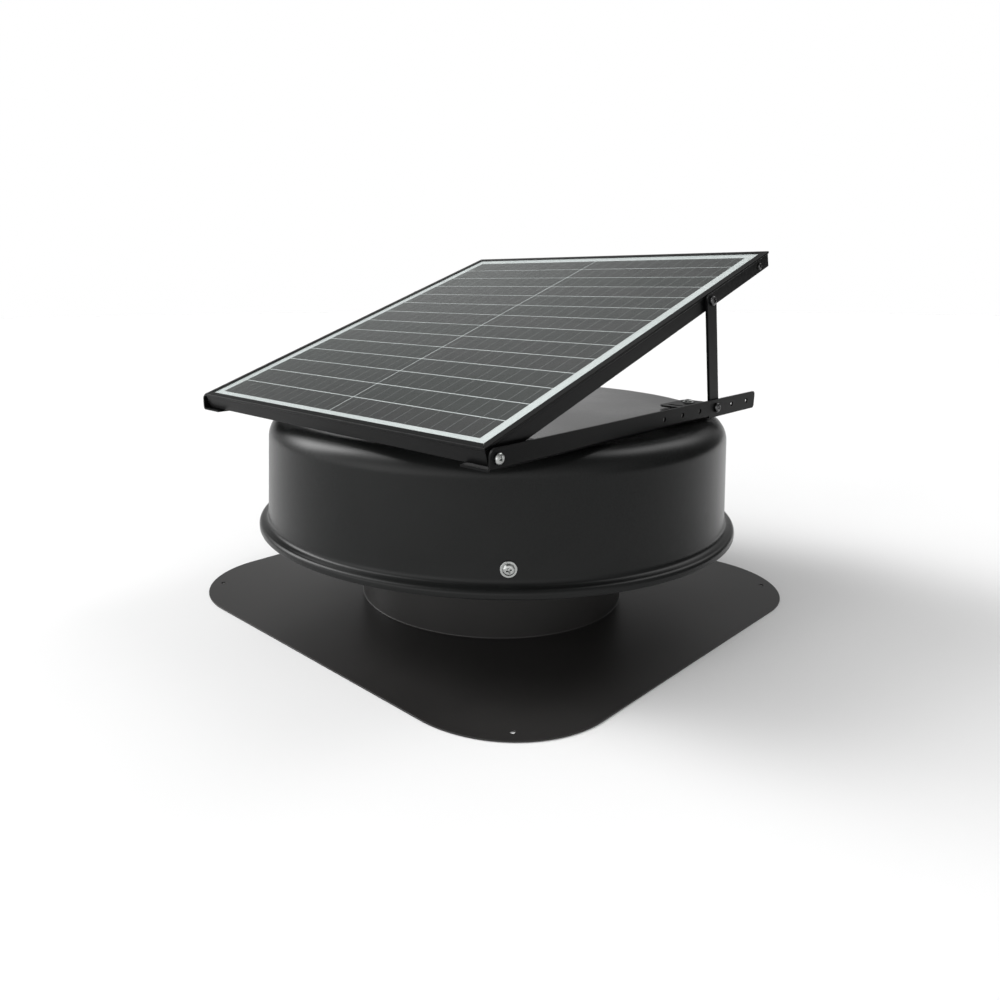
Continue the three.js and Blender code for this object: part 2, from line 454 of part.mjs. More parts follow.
// ------------------------------------------------------------------- struts
{
  const [ty, tz] = world(PIVOT_S, PIVOT_P);
  const by = HOLE_Y[STRUT_HOLE], bz = HOLE_Z;
  const len = Math.hypot(by - ty, bz - tz), ang = Math.atan2(bz - tz, by - ty);
  for (const [side, word] of [[1, 'right'], [-1, 'left']]) {
    const w = STRUT.w / 2, e = STRUT.end;
    const bar = roundedRect(-e, len + e, -w, w, 7);
    for (const c of [0, len]) bar.holes.push(new THREE.Path().absarc(c, 0, 2.7, 0, 2 * Math.PI, true));
    const g = new THREE.ExtrudeGeometry(bar, { depth: STRUT.x1 - STRUT.x0, bevelEnabled: false, curveSegments: 4 });
    g.applyMatrix4(new THREE.Matrix4().makeBasis(new THREE.Vector3(0, 1, 0), new THREE.Vector3(0, 0, 1), new THREE.Vector3(1, 0, 0)));
    g.rotateX(ang);
    g.translate(side > 0 ? STRUT.x0 : -STRUT.x1, ty, tz);
    add(`strut_${word}`, g, powderGloss);
  }
}

export default group;
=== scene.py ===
"""Solar attic fan: the looks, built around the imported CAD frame.  Shapes are written in millimetres and scaled once."""
import bpy
import bmesh
import math
from math import sin, cos, pi, radians
from mathutils import Vector, Matrix
from mathutils.geometry import tessellate_polygon


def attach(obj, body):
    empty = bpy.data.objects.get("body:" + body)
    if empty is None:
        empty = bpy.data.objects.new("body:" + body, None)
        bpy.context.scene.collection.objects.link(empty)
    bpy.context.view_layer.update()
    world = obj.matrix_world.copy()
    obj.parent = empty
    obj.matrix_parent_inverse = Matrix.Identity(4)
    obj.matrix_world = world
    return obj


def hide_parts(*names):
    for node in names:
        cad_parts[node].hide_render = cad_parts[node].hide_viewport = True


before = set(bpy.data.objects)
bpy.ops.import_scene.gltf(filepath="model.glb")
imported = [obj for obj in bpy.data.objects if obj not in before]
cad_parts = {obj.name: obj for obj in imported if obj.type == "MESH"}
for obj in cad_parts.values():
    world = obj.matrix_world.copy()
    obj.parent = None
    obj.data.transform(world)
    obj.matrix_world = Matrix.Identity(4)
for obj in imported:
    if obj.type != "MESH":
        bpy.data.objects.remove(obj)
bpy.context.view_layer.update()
scene = bpy.context.scene

# ------------------------------------------------------------------ dimensions (mm, as in the CAD source)
FLASH_HALF, FLASH_T, FLASH_R, FLASH_HOLE_AT, FLASH_HOLE_R = 295.0, 1.5, 118.0, 250.0, 2.75
NECK_R, NECK_T, NECK_FOOT, NECK_TOP = 165.5, 1.5, 6.0, 132.0
HOOD_TOP, HOOD_T, HOOD_RTOP, HOOD_Q, HOOD_RLOW, HOOD_ZLOW, HOOD_RIM = 236.5, 1.3, 276.4, 25.5, 281.2, 114.0, 292.7
ARMS = (-45, 75, 195)
SIDE_SCREW_Z, THROAT_BOLT_Z = 127.0, 111.9
BR_X0, BR_X1, BR_Y0, BR_Y1, BR_Z0, BR_H, BR_FLANGE, BR_EAR = 234.1, 236.1, -268.7, 211.5, 238.6, 20.0, 204.0, 150.0
HOLE_Z, HOLE_Y = 249.2, (3.0, 40.5, 78.0, 115.5, 153.0, 190.5)
HINGE_Y = -258.7
PAN_W, PAN_L, PAN_H, TILT = 460.6, 525.3, 18.0, radians(18.3)
HINGE_S, HINGE_P, PIVOT_S, PIVOT_P = 7.4, 12.0, 377.6, 9.0
STRUT_X0, STRUT_X1, STRUT_W, STRUT_END = 230.7, 233.7, 20.0, 8.0
EAR_X, EAR_Y = 167.0, 180.0
GRIP = 0.3
OY = HINGE_Y - HINGE_S * cos(TILT) - HINGE_P * sin(TILT)
OZ = HOLE_Z - HINGE_S * sin(TILT) + HINGE_P * cos(TILT)
PANEL_M = Matrix.Translation((0, OY, OZ)) @ Matrix.Rotation(TILT, 4, "X")     # panel's own frame: x, s, height over the top face

# ------------------------------------------------------------------ camera at the photograph's angle
AZ, EL, ROLL = radians(46.655), radians(13.058), radians(-0.3767)
back = Vector((sin(AZ) * cos(EL), -cos(AZ) * cos(EL), sin(EL)))
right = Vector((cos(AZ), sin(AZ), 0))
up = back.cross(right)
r2 = cos(ROLL) * right + sin(ROLL) * up
u2 = -sin(ROLL) * right + cos(ROLL) * up
place = (-89.4085 * r2 + 156.0319 * u2 + 1034.2697 * back) * 1.02 * 0.001
cam_data = bpy.data.cameras.new("camera")
cam_data.sensor_width, cam_data.lens = 36.0, 36.0 * 0.800079
cam_data.shift_x, cam_data.shift_y = (500 - 420.65) / 1000, (464.15 - 500) / 1000
cam_data.clip_start, cam_data.clip_end = 0.02, 40
cam = bpy.data.objects.new("camera", cam_data)
scene.collection.objects.link(cam)
cam.matrix_world = Matrix(((r2.x, u2.x, back.x, place.x), (r2.y, u2.y, back.y, place.y), (r2.z, u2.z, back.z, place.z), (0, 0, 0, 1)))
scene.camera = cam


# ------------------------------------------------------------------ node materials
class Nodes:
    """A short way to write a material's node tree."""

    def __init__(self, name, surface=True):
        self.mat = bpy.data.materials.new(name)
        self.mat.use_nodes = True
        self.nt = self.mat.node_tree
        self.p = self.nt.nodes["Principled BSDF"]

    def new(self, kind, **sets):
        n = self.nt.nodes.new(kind)
        for k, v in sets.items():
            setattr(n, k, v)
        return n

    def link(self, a, b):
        self.nt.links.new(a, b)

    def put(self, socket, value):
        if hasattr(value, "is_linked") or isinstance(value, bpy.types.NodeSocket):
            self.link(value, socket)
        else:
            socket.default_value = value

    def coords(self, panel=False):
        """Object coordinates in metres; with panel, turned into the panel's own plane."""
        out = self.new("ShaderNodeTexCoord").outputs["Object"]
        if not panel:
            return out
        move = self.new("ShaderNodeVectorMath", operation="SUBTRACT")
        self.link(out, move.inputs[0])
        move.inputs[1].default_value = (0, OY * 0.001, OZ * 0.001)
        turn = self.new("ShaderNodeVectorRotate", rotation_type="X_AXIS")
        self.link(move.outputs[0], turn.inputs["Vector"])
        turn.inputs["Angle"].default_value = -TILT
        return turn.outputs[0]

    def scaled(self, vec, by):
        n = self.new("ShaderNodeVectorMath", operation="MULTIPLY")
        self.link(vec, n.inputs[0])
        n.inputs[1].default_value = by
        return n.outputs[0]

    def noise(self, vec, scale, detail=2.0, rough=0.5):
        n = self.new("ShaderNodeTexNoise")
        self.link(vec, n.inputs["Vector"])
        n.inputs["Scale"].default_value = scale
        n.inputs["Detail"].default_value = detail
        n.inputs["Roughness"].default_value = rough
        return n.outputs["Fac"]

    def math(self, op, a, b=None, c=None, clamp=False):
        n = self.new("ShaderNodeMath", operation=op, use_clamp=clamp)
        for i, v in enumerate((a, b, c)):
            if v is not None:
                self.put(n.inputs[i], v)
        return n.outputs[0]

    def span(self, value, a, b, lo, hi):
        """value from a..b mapped to lo..hi, clamped."""
        n = self.new("ShaderNodeMapRange")
        self.put(n.inputs["Value"], value)
        n.inputs["From Min"].default_value, n.inputs["From Max"].default_value = a, b
        n.inputs["To Min"].default_value, n.inputs["To Max"].default_value = lo, hi
        return n.outputs[0]

    def mix(self, fac, a, b):
        n = self.new("ShaderNodeMix", data_type="RGBA")
        self.put(n.inputs["Factor"], fac)
        for s, v in ((n.inputs[6], a), (n.inputs[7], b)):
            self.put(s, v if isinstance(v, bpy.types.NodeSocket) else (*v, 1) if len(v) == 3 else v)
        return n.outputs[2]

    def bump(self, height, strength, distance, normal=None):
        n = self.new("ShaderNodeBump")
        n.inputs["Strength"].default_value = strength
        n.inputs["Distance"].default_value = distance
        self.link(height, n.inputs["Height"])
        if normal is not None:
            self.link(normal, n.inputs["Normal"])
        return n.outputs[0]

    def set(self, **kw):
        names = {"color": "Base Color", "rough": "Roughness", "metal": "Metallic", "normal": "Normal", "ior": "IOR",
                 "spec": "Specular IOR Level", "coat": "Coat Weight", "coat_rough": "Coat Roughness", "sheen": "Sheen Weight",
                 "aniso": "Anisotropic"}
        for k, v in kw.items():
            if isinstance(v, tuple) and len(v) == 3:
                v = (*v, 1)
            self.put(self.p.inputs[names[k]], v)
        return self.mat


def powder(name, tone, rough, spec=0.5, grain=1.0, warm=(1.0, 1.0, 1.0)):
    """Satin powder coat on sheet steel: orange peel, fine grain, faint cloudiness."""
    n = Nodes(name)
    v = n.coords()
    cloud = n.noise(v, 5.0, 3.0, 0.55)
    speck = n.noise(v, 2600.0, 1.0)
    peel = n.noise(v, 420.0, 2.0, 0.6)
    lo = tuple(c * tone * 0.86 for c in warm)
    hi = tuple(c * tone * 1.16 for c in warm)
    base = n.mix(n.span(cloud, 0.35, 0.65, 0, 1), lo, hi)
    fleck = n.mix(n.span(speck, 0.60, 0.74, 0, 0.35), base, tuple(c * tone * 2.3 for c in warm))
    r = n.math("ADD", n.span(cloud, 0.3, 0.7, -0.035, 0.035), n.span(speck, 0.3, 0.7, rough - 0.03, rough + 0.03))
    b = n.bump(peel, 0.10 * grain, 0.00025)
    b = n.bump(speck, 0.07 * grain, 0.00012, b)
    return n.set(color=fleck, rough=r, normal=b, spec=spec)


def extruded_black(name, tone, rough, axis=0, spec=0.5):
    """Black anodised or painted profile: fine die lines along its length."""
    n = Nodes(name)
    v = n.coords(panel=True)
    stretch = [900.0, 900.0, 900.0]
    stretch[axis] = 6.0
    lines = n.noise(n.scaled(v, tuple(stretch)), 1.0, 3.0, 0.6)
    cloud = n.noise(v, 9.0, 3.0)
    grain = n.noise(v, 2400.0, 1.0)
    c = n.mix(n.span(cloud, 0.35, 0.65, 0, 1), tuple(tone * k * 0.9 for k in (1, 1.02, 1.03)), tuple(tone * k * 1.15 for k in (1, 1.02, 1.03)))
    r = n.math("ADD", n.span(lines, 0.3, 0.7, rough - 0.04, rough + 0.04), n.span(cloud, 0.3, 0.7, -0.03, 0.03))
    b = n.bump(lines, 0.05, 0.00012)
    b = n.bump(grain, 0.05, 0.00010, b)
    return n.set(color=c, rough=r, normal=b, spec=spec)


def plated(name, color, rough, metal=1.0, scale=700.0, bump=0.05):
    n = Nodes(name)
    v = n.coords()
    a = n.noise(v, scale, 3.0, 0.6)
    c = n.noise(v, scale * 0.12, 2.0)
    col = n.mix(n.span(c, 0.3, 0.7, 0, 1), tuple(k * 0.86 for k in color), tuple(min(1, k * 1.08) for k in color))
    r = n.math("ADD", n.span(a, 0.3, 0.7, rough - 0.06, rough + 0.08), n.span(c, 0.3, 0.7, -0.03, 0.03))
    return n.set(color=col, rough=r, metal=metal, normal=n.bump(a, bump, 0.0001))


def rubbery(name, tone, rough):
    n = Nodes(name)
    v = n.coords()
    a = n.noise(v, 1500.0, 3.0, 0.65)
    c = n.noise(v, 60.0, 2.0)
    col = n.mix(n.span(c, 0.3, 0.7, 0, 1), (tone * 0.8,) * 3, (tone * 1.3, tone * 1.3, tone * 1.25))
    return n.set(color=col, rough=n.span(a, 0.3, 0.7, rough - 0.08, rough + 0.05), normal=n.bump(a, 0.25, 0.0002))


def moulded(name, tone, rough):
    n = Nodes(name)
    v = n.coords()
    vor = n.new("ShaderNodeTexVoronoi")
    n.link(v, vor.inputs["Vector"])
    vor.inputs["Scale"].default_value = 1400.0
    a = vor.outputs["Distance"]
    c = n.noise(v, 25.0, 2.0)
    col = n.mix(n.span(c, 0.3, 0.7, 0, 1), (tone * 0.85,) * 3, (tone * 1.2, tone * 1.2, tone * 1.25))
    return n.set(color=col, rough=n.span(c, 0.3, 0.7, rough - 0.05, rough + 0.05), normal=n.bump(a, 0.22, 0.00015))


COOL = (0.97, 1.02, 1.0)
M_FLASH = powder("powder_flashing", 0.018, 0.40, 0.31, warm=(1.04, 1.0, 0.97))
M_HOOD = powder("powder_hood", 0.0070, 0.285, 0.16, warm=COOL)
M_INNER = powder("powder_inner", 0.007, 0.42, 0.25, warm=COOL)
M_BRACKET = powder("powder_bracket", 0.0022, 0.42, 0.09, warm=(0.97, 1.0, 1.03))
M_STRUT = powder("powder_strut", 0.0024, 0.42, 0.12, warm=(0.97, 1.0, 1.03))
M_RAIL_X = extruded_black("frame_black_x", 0.0026, 0.34, axis=0, spec=0.11)
M_RAIL_S = extruded_black("frame_black_s", 0.0028, 0.34, axis=1, spec=0.11)
M_MOTOR = powder("motor_black", 0.010, 0.34, 0.35)
M_ZINC = plated("zinc_plate", (0.40, 0.41, 0.40), 0.27)
M_BOLT = plated("dark_plate", (0.085, 0.085, 0.086), 0.24)
# the walls inside the cross recess: the plating drawn much darker than the head, painted shade in the recess
M_RECESS_PAINTED_SHADE = plated("recess_painted_shade", (0.045, 0.046, 0.046), 0.40)
M_STEEL = plated("ground_steel", (0.46, 0.47, 0.48), 0.30, scale=400)
M_WIRE = plated("screen_wire", (0.30, 0.31, 0.31), 0.38, scale=900)
M_ALU = plated("mill_aluminium", (0.60, 0.61, 0.62), 0.36, scale=260, bump=0.08)
M_BARE = plated("bare_edge", (0.55, 0.56, 0.56), 0.42, scale=900)
M_RUBBER = rubbery("epdm_rubber", 0.010, 0.72)
M_PLASTIC = moulded("moulded_black", 0.010, 0.50)


def wound_copper():
    """Stator: laminated steel with copper windings where the slots are."""
    n = Nodes("stator_windings")
    v = n.coords()
    sep = n.new("ShaderNodeSeparateXYZ")
    n.link(v, sep.inputs[0])
    layers = n.math("FRACT", n.math("MULTIPLY", sep.outputs[2], 2000.0))
    copper = n.mix(n.noise(v, 900.0, 2.0), (0.55, 0.20, 0.06), (0.72, 0.30, 0.10))
    steel = n.mix(n.span(layers, 0.0, 0.15, 0.0, 1.0), (0.10, 0.10, 0.11), (0.34, 0.34, 0.35))
    r = n.math("SQRT", n.math("ADD", n.math("MULTIPLY", sep.outputs[0], sep.outputs[0]), n.math("MULTIPLY", sep.outputs[1], sep.outputs[1])))
    where = n.span(r, 0.0330, 0.0336, 1.0, 0.0)
    return n.set(color=n.mix(where, steel, copper), rough=n.span(n.noise(v, 500, 2), 0.3, 0.7, 0.35, 0.5), metal=0.85, normal=n.bump(layers, 0.2, 0.0001))


M_COPPER = wound_copper()

CELL_X0, CELL_S0, CELL_W, CELL_GAP_X, CELL_H, CELL_GAP = 0.8, 16.4, 209.6, 1.6, 33.42, 1.55


def cell_material():
    """Dark silicon with fine silver fingers, each strip a slightly different grey."""
    n = Nodes("solar_cell")
    v = n.coords(panel=True)
    sep = n.new("ShaderNodeSeparateXYZ")
    n.link(v, sep.inputs[0])
    x, s = sep.outputs[0], sep.outputs[1]
    col_i = n.math("FLOOR", n.math("MULTIPLY", x, 10.0))
    row_i = n.math("FLOOR", n.math("DIVIDE", n.math("SUBTRACT", s, (CELL_S0 - CELL_GAP / 2) * 0.001), (CELL_H + CELL_GAP) * 0.001))
    comb = n.new("ShaderNodeCombineXYZ")
    n.link(n.math("SIGN", x), comb.inputs[0])
    n.link(row_i, comb.inputs[1])
    white = n.new("ShaderNodeTexWhiteNoise", noise_dimensions="3D")
    n.link(comb.outputs[0], white.inputs["Vector"])
    tint = n.new("ShaderNodeSeparateColor")
    n.link(white.outputs["Color"], tint.inputs[0])
    a = n.mix(tint.outputs[0], (0.0072, 0.0078, 0.0075), (0.0142, 0.0144, 0.0146))
    b = n.mix(n.math("MULTIPLY", tint.outputs[1], 0.60), a, (0.017, 0.011, 0.014))
    cloud = n.noise(v, 26.0, 3.0, 0.6)
    c = n.mix(n.span(cloud, 0.35, 0.7, 0.0, 0.35), b, (0.0115, 0.0140, 0.0125))
    # screen-printed fingers, 1.3 mm apart, across the strip's long side
    f = n.math("ABSOLUTE", n.math("SUBTRACT", n.math("FRACT", n.math("DIVIDE", s, 0.0013)), 0.5))
    finger = n.span(f, 0.46, 0.49, 0.0, 0.5)
    c2 = n.mix(finger, c, (0.07, 0.072, 0.072))
    return n.set(color=c2, rough=n.span(cloud, 0.3, 0.7, 0.34, 0.44), spec=0.5, normal=n.bump(n.noise(v, 1800.0, 2.0), 0.05, 0.0001))


def backsheet_material():
    n = Nodes("backsheet_white")
    v = n.coords(panel=True)
    a = n.noise(v, 700.0, 3.0, 0.6)
    c = n.noise(v, 12.0, 2.0)
    col = n.mix(n.span(c, 0.3, 0.7, 0, 1), (0.565, 0.580, 0.588), (0.632, 0.640, 0.650))
    return n.set(color=col, rough=n.span(a, 0.3, 0.7, 0.42, 0.55), normal=n.bump(a, 0.10, 0.0001))


def ribbon_material():
    n = Nodes("busbar_ribbon")
    v = n.coords(panel=True)
    a = n.noise(n.scaled(v, (40.0, 300.0, 40.0)), 1.0, 2.0)
    col = n.mix(n.span(a, 0.3, 0.7, 0, 1), (0.15, 0.155, 0.155), (0.28, 0.285, 0.285))
    return n.set(color=col, rough=n.span(a, 0.3, 0.7, 0.38, 0.5), metal=0.35)


def glass_material():
    """Tempered solar glass: clear to the cells, with a soft reflection from its matt-textured face."""
    n = Nodes("solar_glass")
    n.nt.nodes.remove(n.p)
    out = [k for k in n.nt.nodes if k.type == "OUTPUT_MATERIAL"][0]
    v = n.coords(panel=True)
    wave = n.noise(v, 40.0, 2.0)
    clear = n.new("ShaderNodeBsdfTransparent")
    clear.inputs["Color"].default_value = (0.975, 0.99, 0.983, 1)
    gloss = n.new("ShaderNodeBsdfGlossy")
    gloss.inputs["Color"].default_value = (0.965, 0.98, 0.975, 1)
    n.link(n.span(wave, 0.3, 0.7, 0.15, 0.18), gloss.inputs["Roughness"])
    face = n.new("ShaderNodeLayerWeight")
    face.inputs["Blend"].default_value = 0.5
    mix = n.new("ShaderNodeMixShader")
    # Schlick's law, the same from both sides of the sheet
    n.link(n.math("MULTIPLY_ADD", n.math("POWER", face.outputs["Facing"], 4.6), 0.50, 0.02), mix.inputs[0])
    n.link(clear.outputs[0], mix.inputs[1])
    n.link(gloss.outputs[0], mix.inputs[2])
    n.link(mix.outputs[0], out.inputs["Surface"])
    return n.mat


def glass_back_material():
    """The face bonded to the cells: a clear passage with the faintest tint."""
    n = Nodes("solar_glass_bonded_face")
    n.nt.nodes.remove(n.p)
    out = [k for k in n.nt.nodes if k.type == "OUTPUT_MATERIAL"][0]
    clear = n.new("ShaderNodeBsdfTransparent")
    n.link(n.mix(n.noise(n.coords(panel=True), 300.0, 2.0), (0.965, 0.985, 0.975), (0.985, 0.995, 0.99)), clear.inputs["Color"])
    n.link(clear.outputs[0], out.inputs["Surface"])
    return n.mat


M_CELL, M_BACK, M_RIBBON, M_GLASS, M_GLASS_BACK = cell_material(), backsheet_material(), ribbon_material(), glass_material(), glass_back_material()


# ------------------------------------------------------------------ mesh code
class Shape:
    """Vertices and faces in millimetres, gathered until they are made into one mesh."""

    def __init__(self):
        self.v, self.f, self.m = [], [], []

    def add(self, verts, faces, mat=0, M=None):
        n = len(self.v)
        self.v += [tuple(M @ Vector(p)) for p in verts] if M is not None else [tuple(p) for p in verts]
        self.f += [tuple(i + n for i in f) for f in faces]
        self.m += mat if isinstance(mat, list) else [mat] * len(faces)
        return self

    def lathe(self, prof, n=96, mat=0, M=None, closed=True, a0=0.0):
        verts, rings, faces, mats = [], [], [], []
        for r, z in prof:
            k = len(verts)
            if r < 1e-6:
                rings.append([k])
                verts.append((0, 0, z))
            else:
                rings.append(list(range(k, k + n)))
                verts += [(r * cos(a0 + 2 * pi * i / n), r * sin(a0 + 2 * pi * i / n), z) for i in range(n)]
        pairs = list(zip(rings, rings[1:]))
        if closed:
            pairs.append((rings[-1], rings[0]))
        for j, (A, B) in enumerate(pairs):
            if len(A) == 1 and len(B) == 1:
                continue
            for i in range(n):
                i2 = (i + 1) % n
                faces.append((A[0], B[i2], B[i]) if len(A) == 1 else (A[i], A[i2], B[0]) if len(B) == 1 else (A[i], A[i2], B[i2], B[i]))
                mats.append(mat[j] if isinstance(mat, (tuple, list)) else mat)
        return self.add(verts, faces, mats, M)

    def plate(self, outer, holes=(), z0=0.0, z1=1.0, bevel=0.3, segs=2, mat=0, hole_mat=None, M=None, open_loops=()):
        """A flat plate with rounded edges. outer is anticlockwise, holes are loops too; open_loops are holes without walls."""
        outer = _ccw(outer)
        holes = [_ccw(h)[::-1] for h in holes]
        opens = [_ccw(h)[::-1] for h in open_loops]
        loops = [outer, *holes]
        stops = [(bevel * (1 - sin(k * pi / 2 / segs)), bevel * (1 - cos(k * pi / 2 / segs))) for k in range(segs, -1, -1)] if bevel else [(0, 0)]
        # from the bottom cap's edge, up the wall, to the top cap's edge: (inset, z)
        path = [(ins, z0 + dz) for ins, dz in [(bevel * (1 - cos(k * pi / 2 / segs)), bevel * (1 - sin(k * pi / 2 / segs))) for k in range(segs + 1)][::-1]] if bevel else [(0, z0)]
        path = [(bevel * (1 - sin(t)), z0 + bevel * (1 - cos(t))) for t in [k * pi / 2 / segs for k in range(segs + 1)]] if bevel else [(0, z0)]
        top = [(ins, z1 - (z - z0)) for ins, z in path][::-1]
        path = path + top
        verts, faces, mats = [], [], []
        start = []
        for li, loop in enumerate(loops):
            n = len(loop)
            rows = []
            for ins, z in path:
                rows.append(len(verts))
                verts += [(x, y, z) for x, y in _inset(loop, ins)]
            for a, b in zip(rows, rows[1:]):
                for i in range(n):
                    i2 = (i + 1) % n
                    faces.append((a + i, a + i2, b + i2, b + i))
                    mats.append(mat if li == 0 or hole_mat is None else hole_mat)
            start.append((rows[0], rows[-1], n))
        for end in (0, 1):
            z = z0 if end == 0 else z1
            polys, index = [], []
            for (r0, r1, n) in start:
                r = (r0, r1)[end]
                polys.append([Vector((verts[r + i][0], verts[r + i][1], 0)) for i in range(n)])
                index += [r + i for i in range(n)]
            for loop in opens:
                r = len(verts)
                verts += [(x, y, z) for x, y in loop]
                polys.append([Vector((x, y, 0)) for x, y in loop])
                index += [r + i for i in range(len(loop))]
            for tri in tessellate_polygon(polys):
                t = [index[i] for i in tri]
                ax, ay = verts[t[0]][:2]
                bx, by = verts[t[1]][:2]
                cx, cy = verts[t[2]][:2]
                turn = (bx - ax) * (cy - ay) - (by - ay) * (cx - ax)
                if abs(turn) < 1e-9:
                    continue
                if (turn > 0) != (end == 1):
                    t = t[::-1]
                faces.append(tuple(t))
                mats.append(mat)
        return self.add(verts, faces, mats, M)

    def mesh(self, name="m", weld=1e-4):
        me = bpy.data.meshes.new(name)
        bm = bmesh.new()
        vs = [bm.verts.new(p) for p in self.v]
        bm.verts.ensure_lookup_table()
        for f, m in zip(self.f, self.m):
            idx = list(dict.fromkeys(f))
            if len(idx) < 3:
                continue
            try:
                face = bm.faces.new([vs[i] for i in idx])
                face.material_index = m
            except ValueError:
                pass
        if weld:
            bmesh.ops.remove_doubles(bm, verts=bm.verts, dist=weld)
        loose = [v for v in bm.verts if not v.link_faces]
        bmesh.ops.delete(bm, geom=loose, context="VERTS")
        bmesh.ops.recalc_face_normals(bm, faces=bm.faces)
        bm.to_mesh(me)
        bm.free()
        return me


def _ccw(loop):
    loop = [(float(x), float(y)) for x, y in loop]
    area = sum(a[0] * b[1] - b[0] * a[1] for a, b in zip(loop, loop[1:] + loop[:1]))
    return loop if area > 0 else loop[::-1]


def _inset(loop, d):
    """The loop moved to its left by d, with mitred corners."""
    if not d:
        return loop
    out, n = [], len(loop)
    for i in range(n):
        p, q, r = Vector(loop[i - 1]), Vector(loop[i]), Vector(loop[(i + 1) % n])
        a, b = (q - p).normalized(), (r - q).normalized()
        na, nb = Vector((-a.y, a.x)), Vector((-b.y, b.x))
        m = na + nb
        if m.length < 1e-6:
            out.append(tuple(q + na * d))
            continue
        m.normalize()
        out.append(tuple(q + m * (d / max(m.dot(na), 0.45))))
    return out


def fillet(points, radius, segs=4, closed=True):
    """Rounds a polyline's corners. radius is one number or one for each point."""
    n, out = len(points), []
    rad = radius if isinstance(radius, (list, tuple)) else [radius] * n
    for i, q in enumerate(points):
        q = Vector(q)
        if not closed and i in (0, n - 1) or rad[i] <= 0:
            out.append(tuple(q))
            continue
        p, r = Vector(points[i - 1]), Vector(points[(i + 1) % n])
        a, b = (p - q), (r - q)
        la, lb = a.length, b.length
        a.normalize(), b.normalize()
        ang = a.angle(b)
        if ang > pi - 1e-3:
            out.append(tuple(q))
            continue
        cut = min(rad[i] / math.tan(ang / 2), la * 0.48, lb * 0.48)
        rr = cut * math.tan(ang / 2)
        c = q + (a + b).normalized() * (rr / sin(ang / 2))
        s, e = q + a * cut - c, q + b * cut - c
        sweep = s.angle_signed(e) * -1
        for k in range(segs + 1):
            t = sweep * k / segs
            out.append((c.x + s.x * cos(t) - s.y * sin(t), c.y + s.x * sin(t) + s.y * cos(t)))
    return out


def circle(cx, cy, r, n=24):
    return [(cx + r * cos(2 * pi * i / n), cy + r * sin(2 * pi * i / n)) for i in range(n)]


def slot_loop(x0, x1, y, r, n=10):
    out = [(x1 + r * cos(t), y + r * sin(t)) for t in [-pi / 2 + pi * k / n for k in range(n + 1)]]
    return out + [(x0 + r * cos(t), y + r * sin(t)) for t in [pi / 2 + pi * k / n for k in range(n + 1)]]


def rect(x0, x1, y0, y1, r=0.0, segs=6):
    pts = [(x0, y0), (x1, y0), (x1, y1), (x0, y1)]
    return fillet(pts, r, segs) if r else pts


def strip(path, t):
    """Outline of a bent strip of thickness t round an open, already rounded centre line."""
    lo, hi = [], []
    n = len(path)
    for i, q in enumerate(path):
        q = Vector(q)
        d = (Vector(path[min(i + 1, n - 1)]) - Vector(path[max(i - 1, 0)])).normalized()
        if 0 < i < n - 1:
            a, b = (q - Vector(path[i - 1])).normalized(), (Vector(path[i + 1]) - q).normalized()
            d = (a + b).normalized()
            k = 1 / max(d.dot(a), 0.5)
        else:
            k = 1
        nn = Vector((-d.y, d.x)) * (t / 2 * k)
        hi.append(tuple(q + nn))
        lo.append(tuple(q - nn))
    return lo + hi[::-1]


def obj_of(me, name="tmp"):
    o = bpy.data.objects.new(name, me)
    scene.collection.objects.link(o)
    return o


def applied(o):
    bpy.context.view_layer.update()
    me = bpy.data.meshes.new_from_object(o.evaluated_get(bpy.context.evaluated_depsgraph_get()))
    o.modifiers.clear()
    old = o.data
    o.data = me
    bpy.data.meshes.remove(old)
    return o


def combine(me, parts, solver="MANIFOLD"):
    """me joined with or cut by each of parts, a list of (operation, mesh)."""
    o = obj_of(me)
    for op, other in parts:
        tool = obj_of(other)
        m = o.modifiers.new("b", "BOOLEAN")
        m.operation, m.object, m.solver = op, tool, solver
        applied(o)
        bpy.data.objects.remove(tool)
    out = o.data
    bpy.data.objects.remove(o)
    return out


def softened(me, width, segs=2, angle=40):
    """Edges sharper than angle get a small round."""
    o = obj_of(me)
    m = o.modifiers.new("v", "BEVEL")
    m.width, m.segments, m.limit_method, m.angle_limit = width, segs, "ANGLE", radians(angle)
    m.use_clamp_overlap, m.harden_normals, m.miter_outer = True, False, "MITER_ARC"
    applied(o)
    out = o.data
    bpy.data.objects.remove(o)
    return out


PIECES = {}


def piece(name, me, body, nodes, mats, sharp=35, weighted=False, M=None):
    """Puts a finished mesh, in mm, in the scene: scaled to metres, shaded, on its body, in place of its CAD nodes."""
    me = me.mesh(name) if isinstance(me, Shape) else me
    me.name = name
    if M is not None:
        me.transform(M)
        if M.determinant() < 0:
            me.flip_normals()
    me.transform(Matrix.Scale(0.001, 4))
    me.materials.clear()
    for m in mats if isinstance(mats, (list, tuple)) else [mats]:
        me.materials.append(m)
    me.shade_smooth()
    me.set_sharp_from_angle(angle=radians(sharp))
    o = obj_of(me, name)
    if weighted:
        w = o.modifiers.new("w", "WEIGHTED_NORMAL")
        w.keep_sharp, w.weight = True, 60
        applied(o)
        o.data.name = name
    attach(o, body)
    if nodes:
        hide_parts(*([nodes] if isinstance(nodes, str) else nodes))
    PIECES[name] = o
    return o


def turn_z(deg):
    return Matrix.Rotation(radians(deg), 4, "Z")


def along(axis, at):
    """Places a shape made along +Z so that +Z points along axis, at a point."""
    z = Vector(axis).normalized()
    x = Vector((0, 0, 1)) if abs(z.z) < 0.9 else Vector((1, 0, 0))
    y = z.cross(x).normalized()
    x = y.cross(z).normalized()
    return Matrix(((x.x, y.x, z.x, at[0]), (x.y, y.y, z.y, at[1]), (x.z, y.z, z.z, at[2]), (0, 0, 0, 1)))


SIDES = ((1, "right"), (-1, "left"))
MIRROR = Matrix.Diagonal((-1, 1, 1, 1))

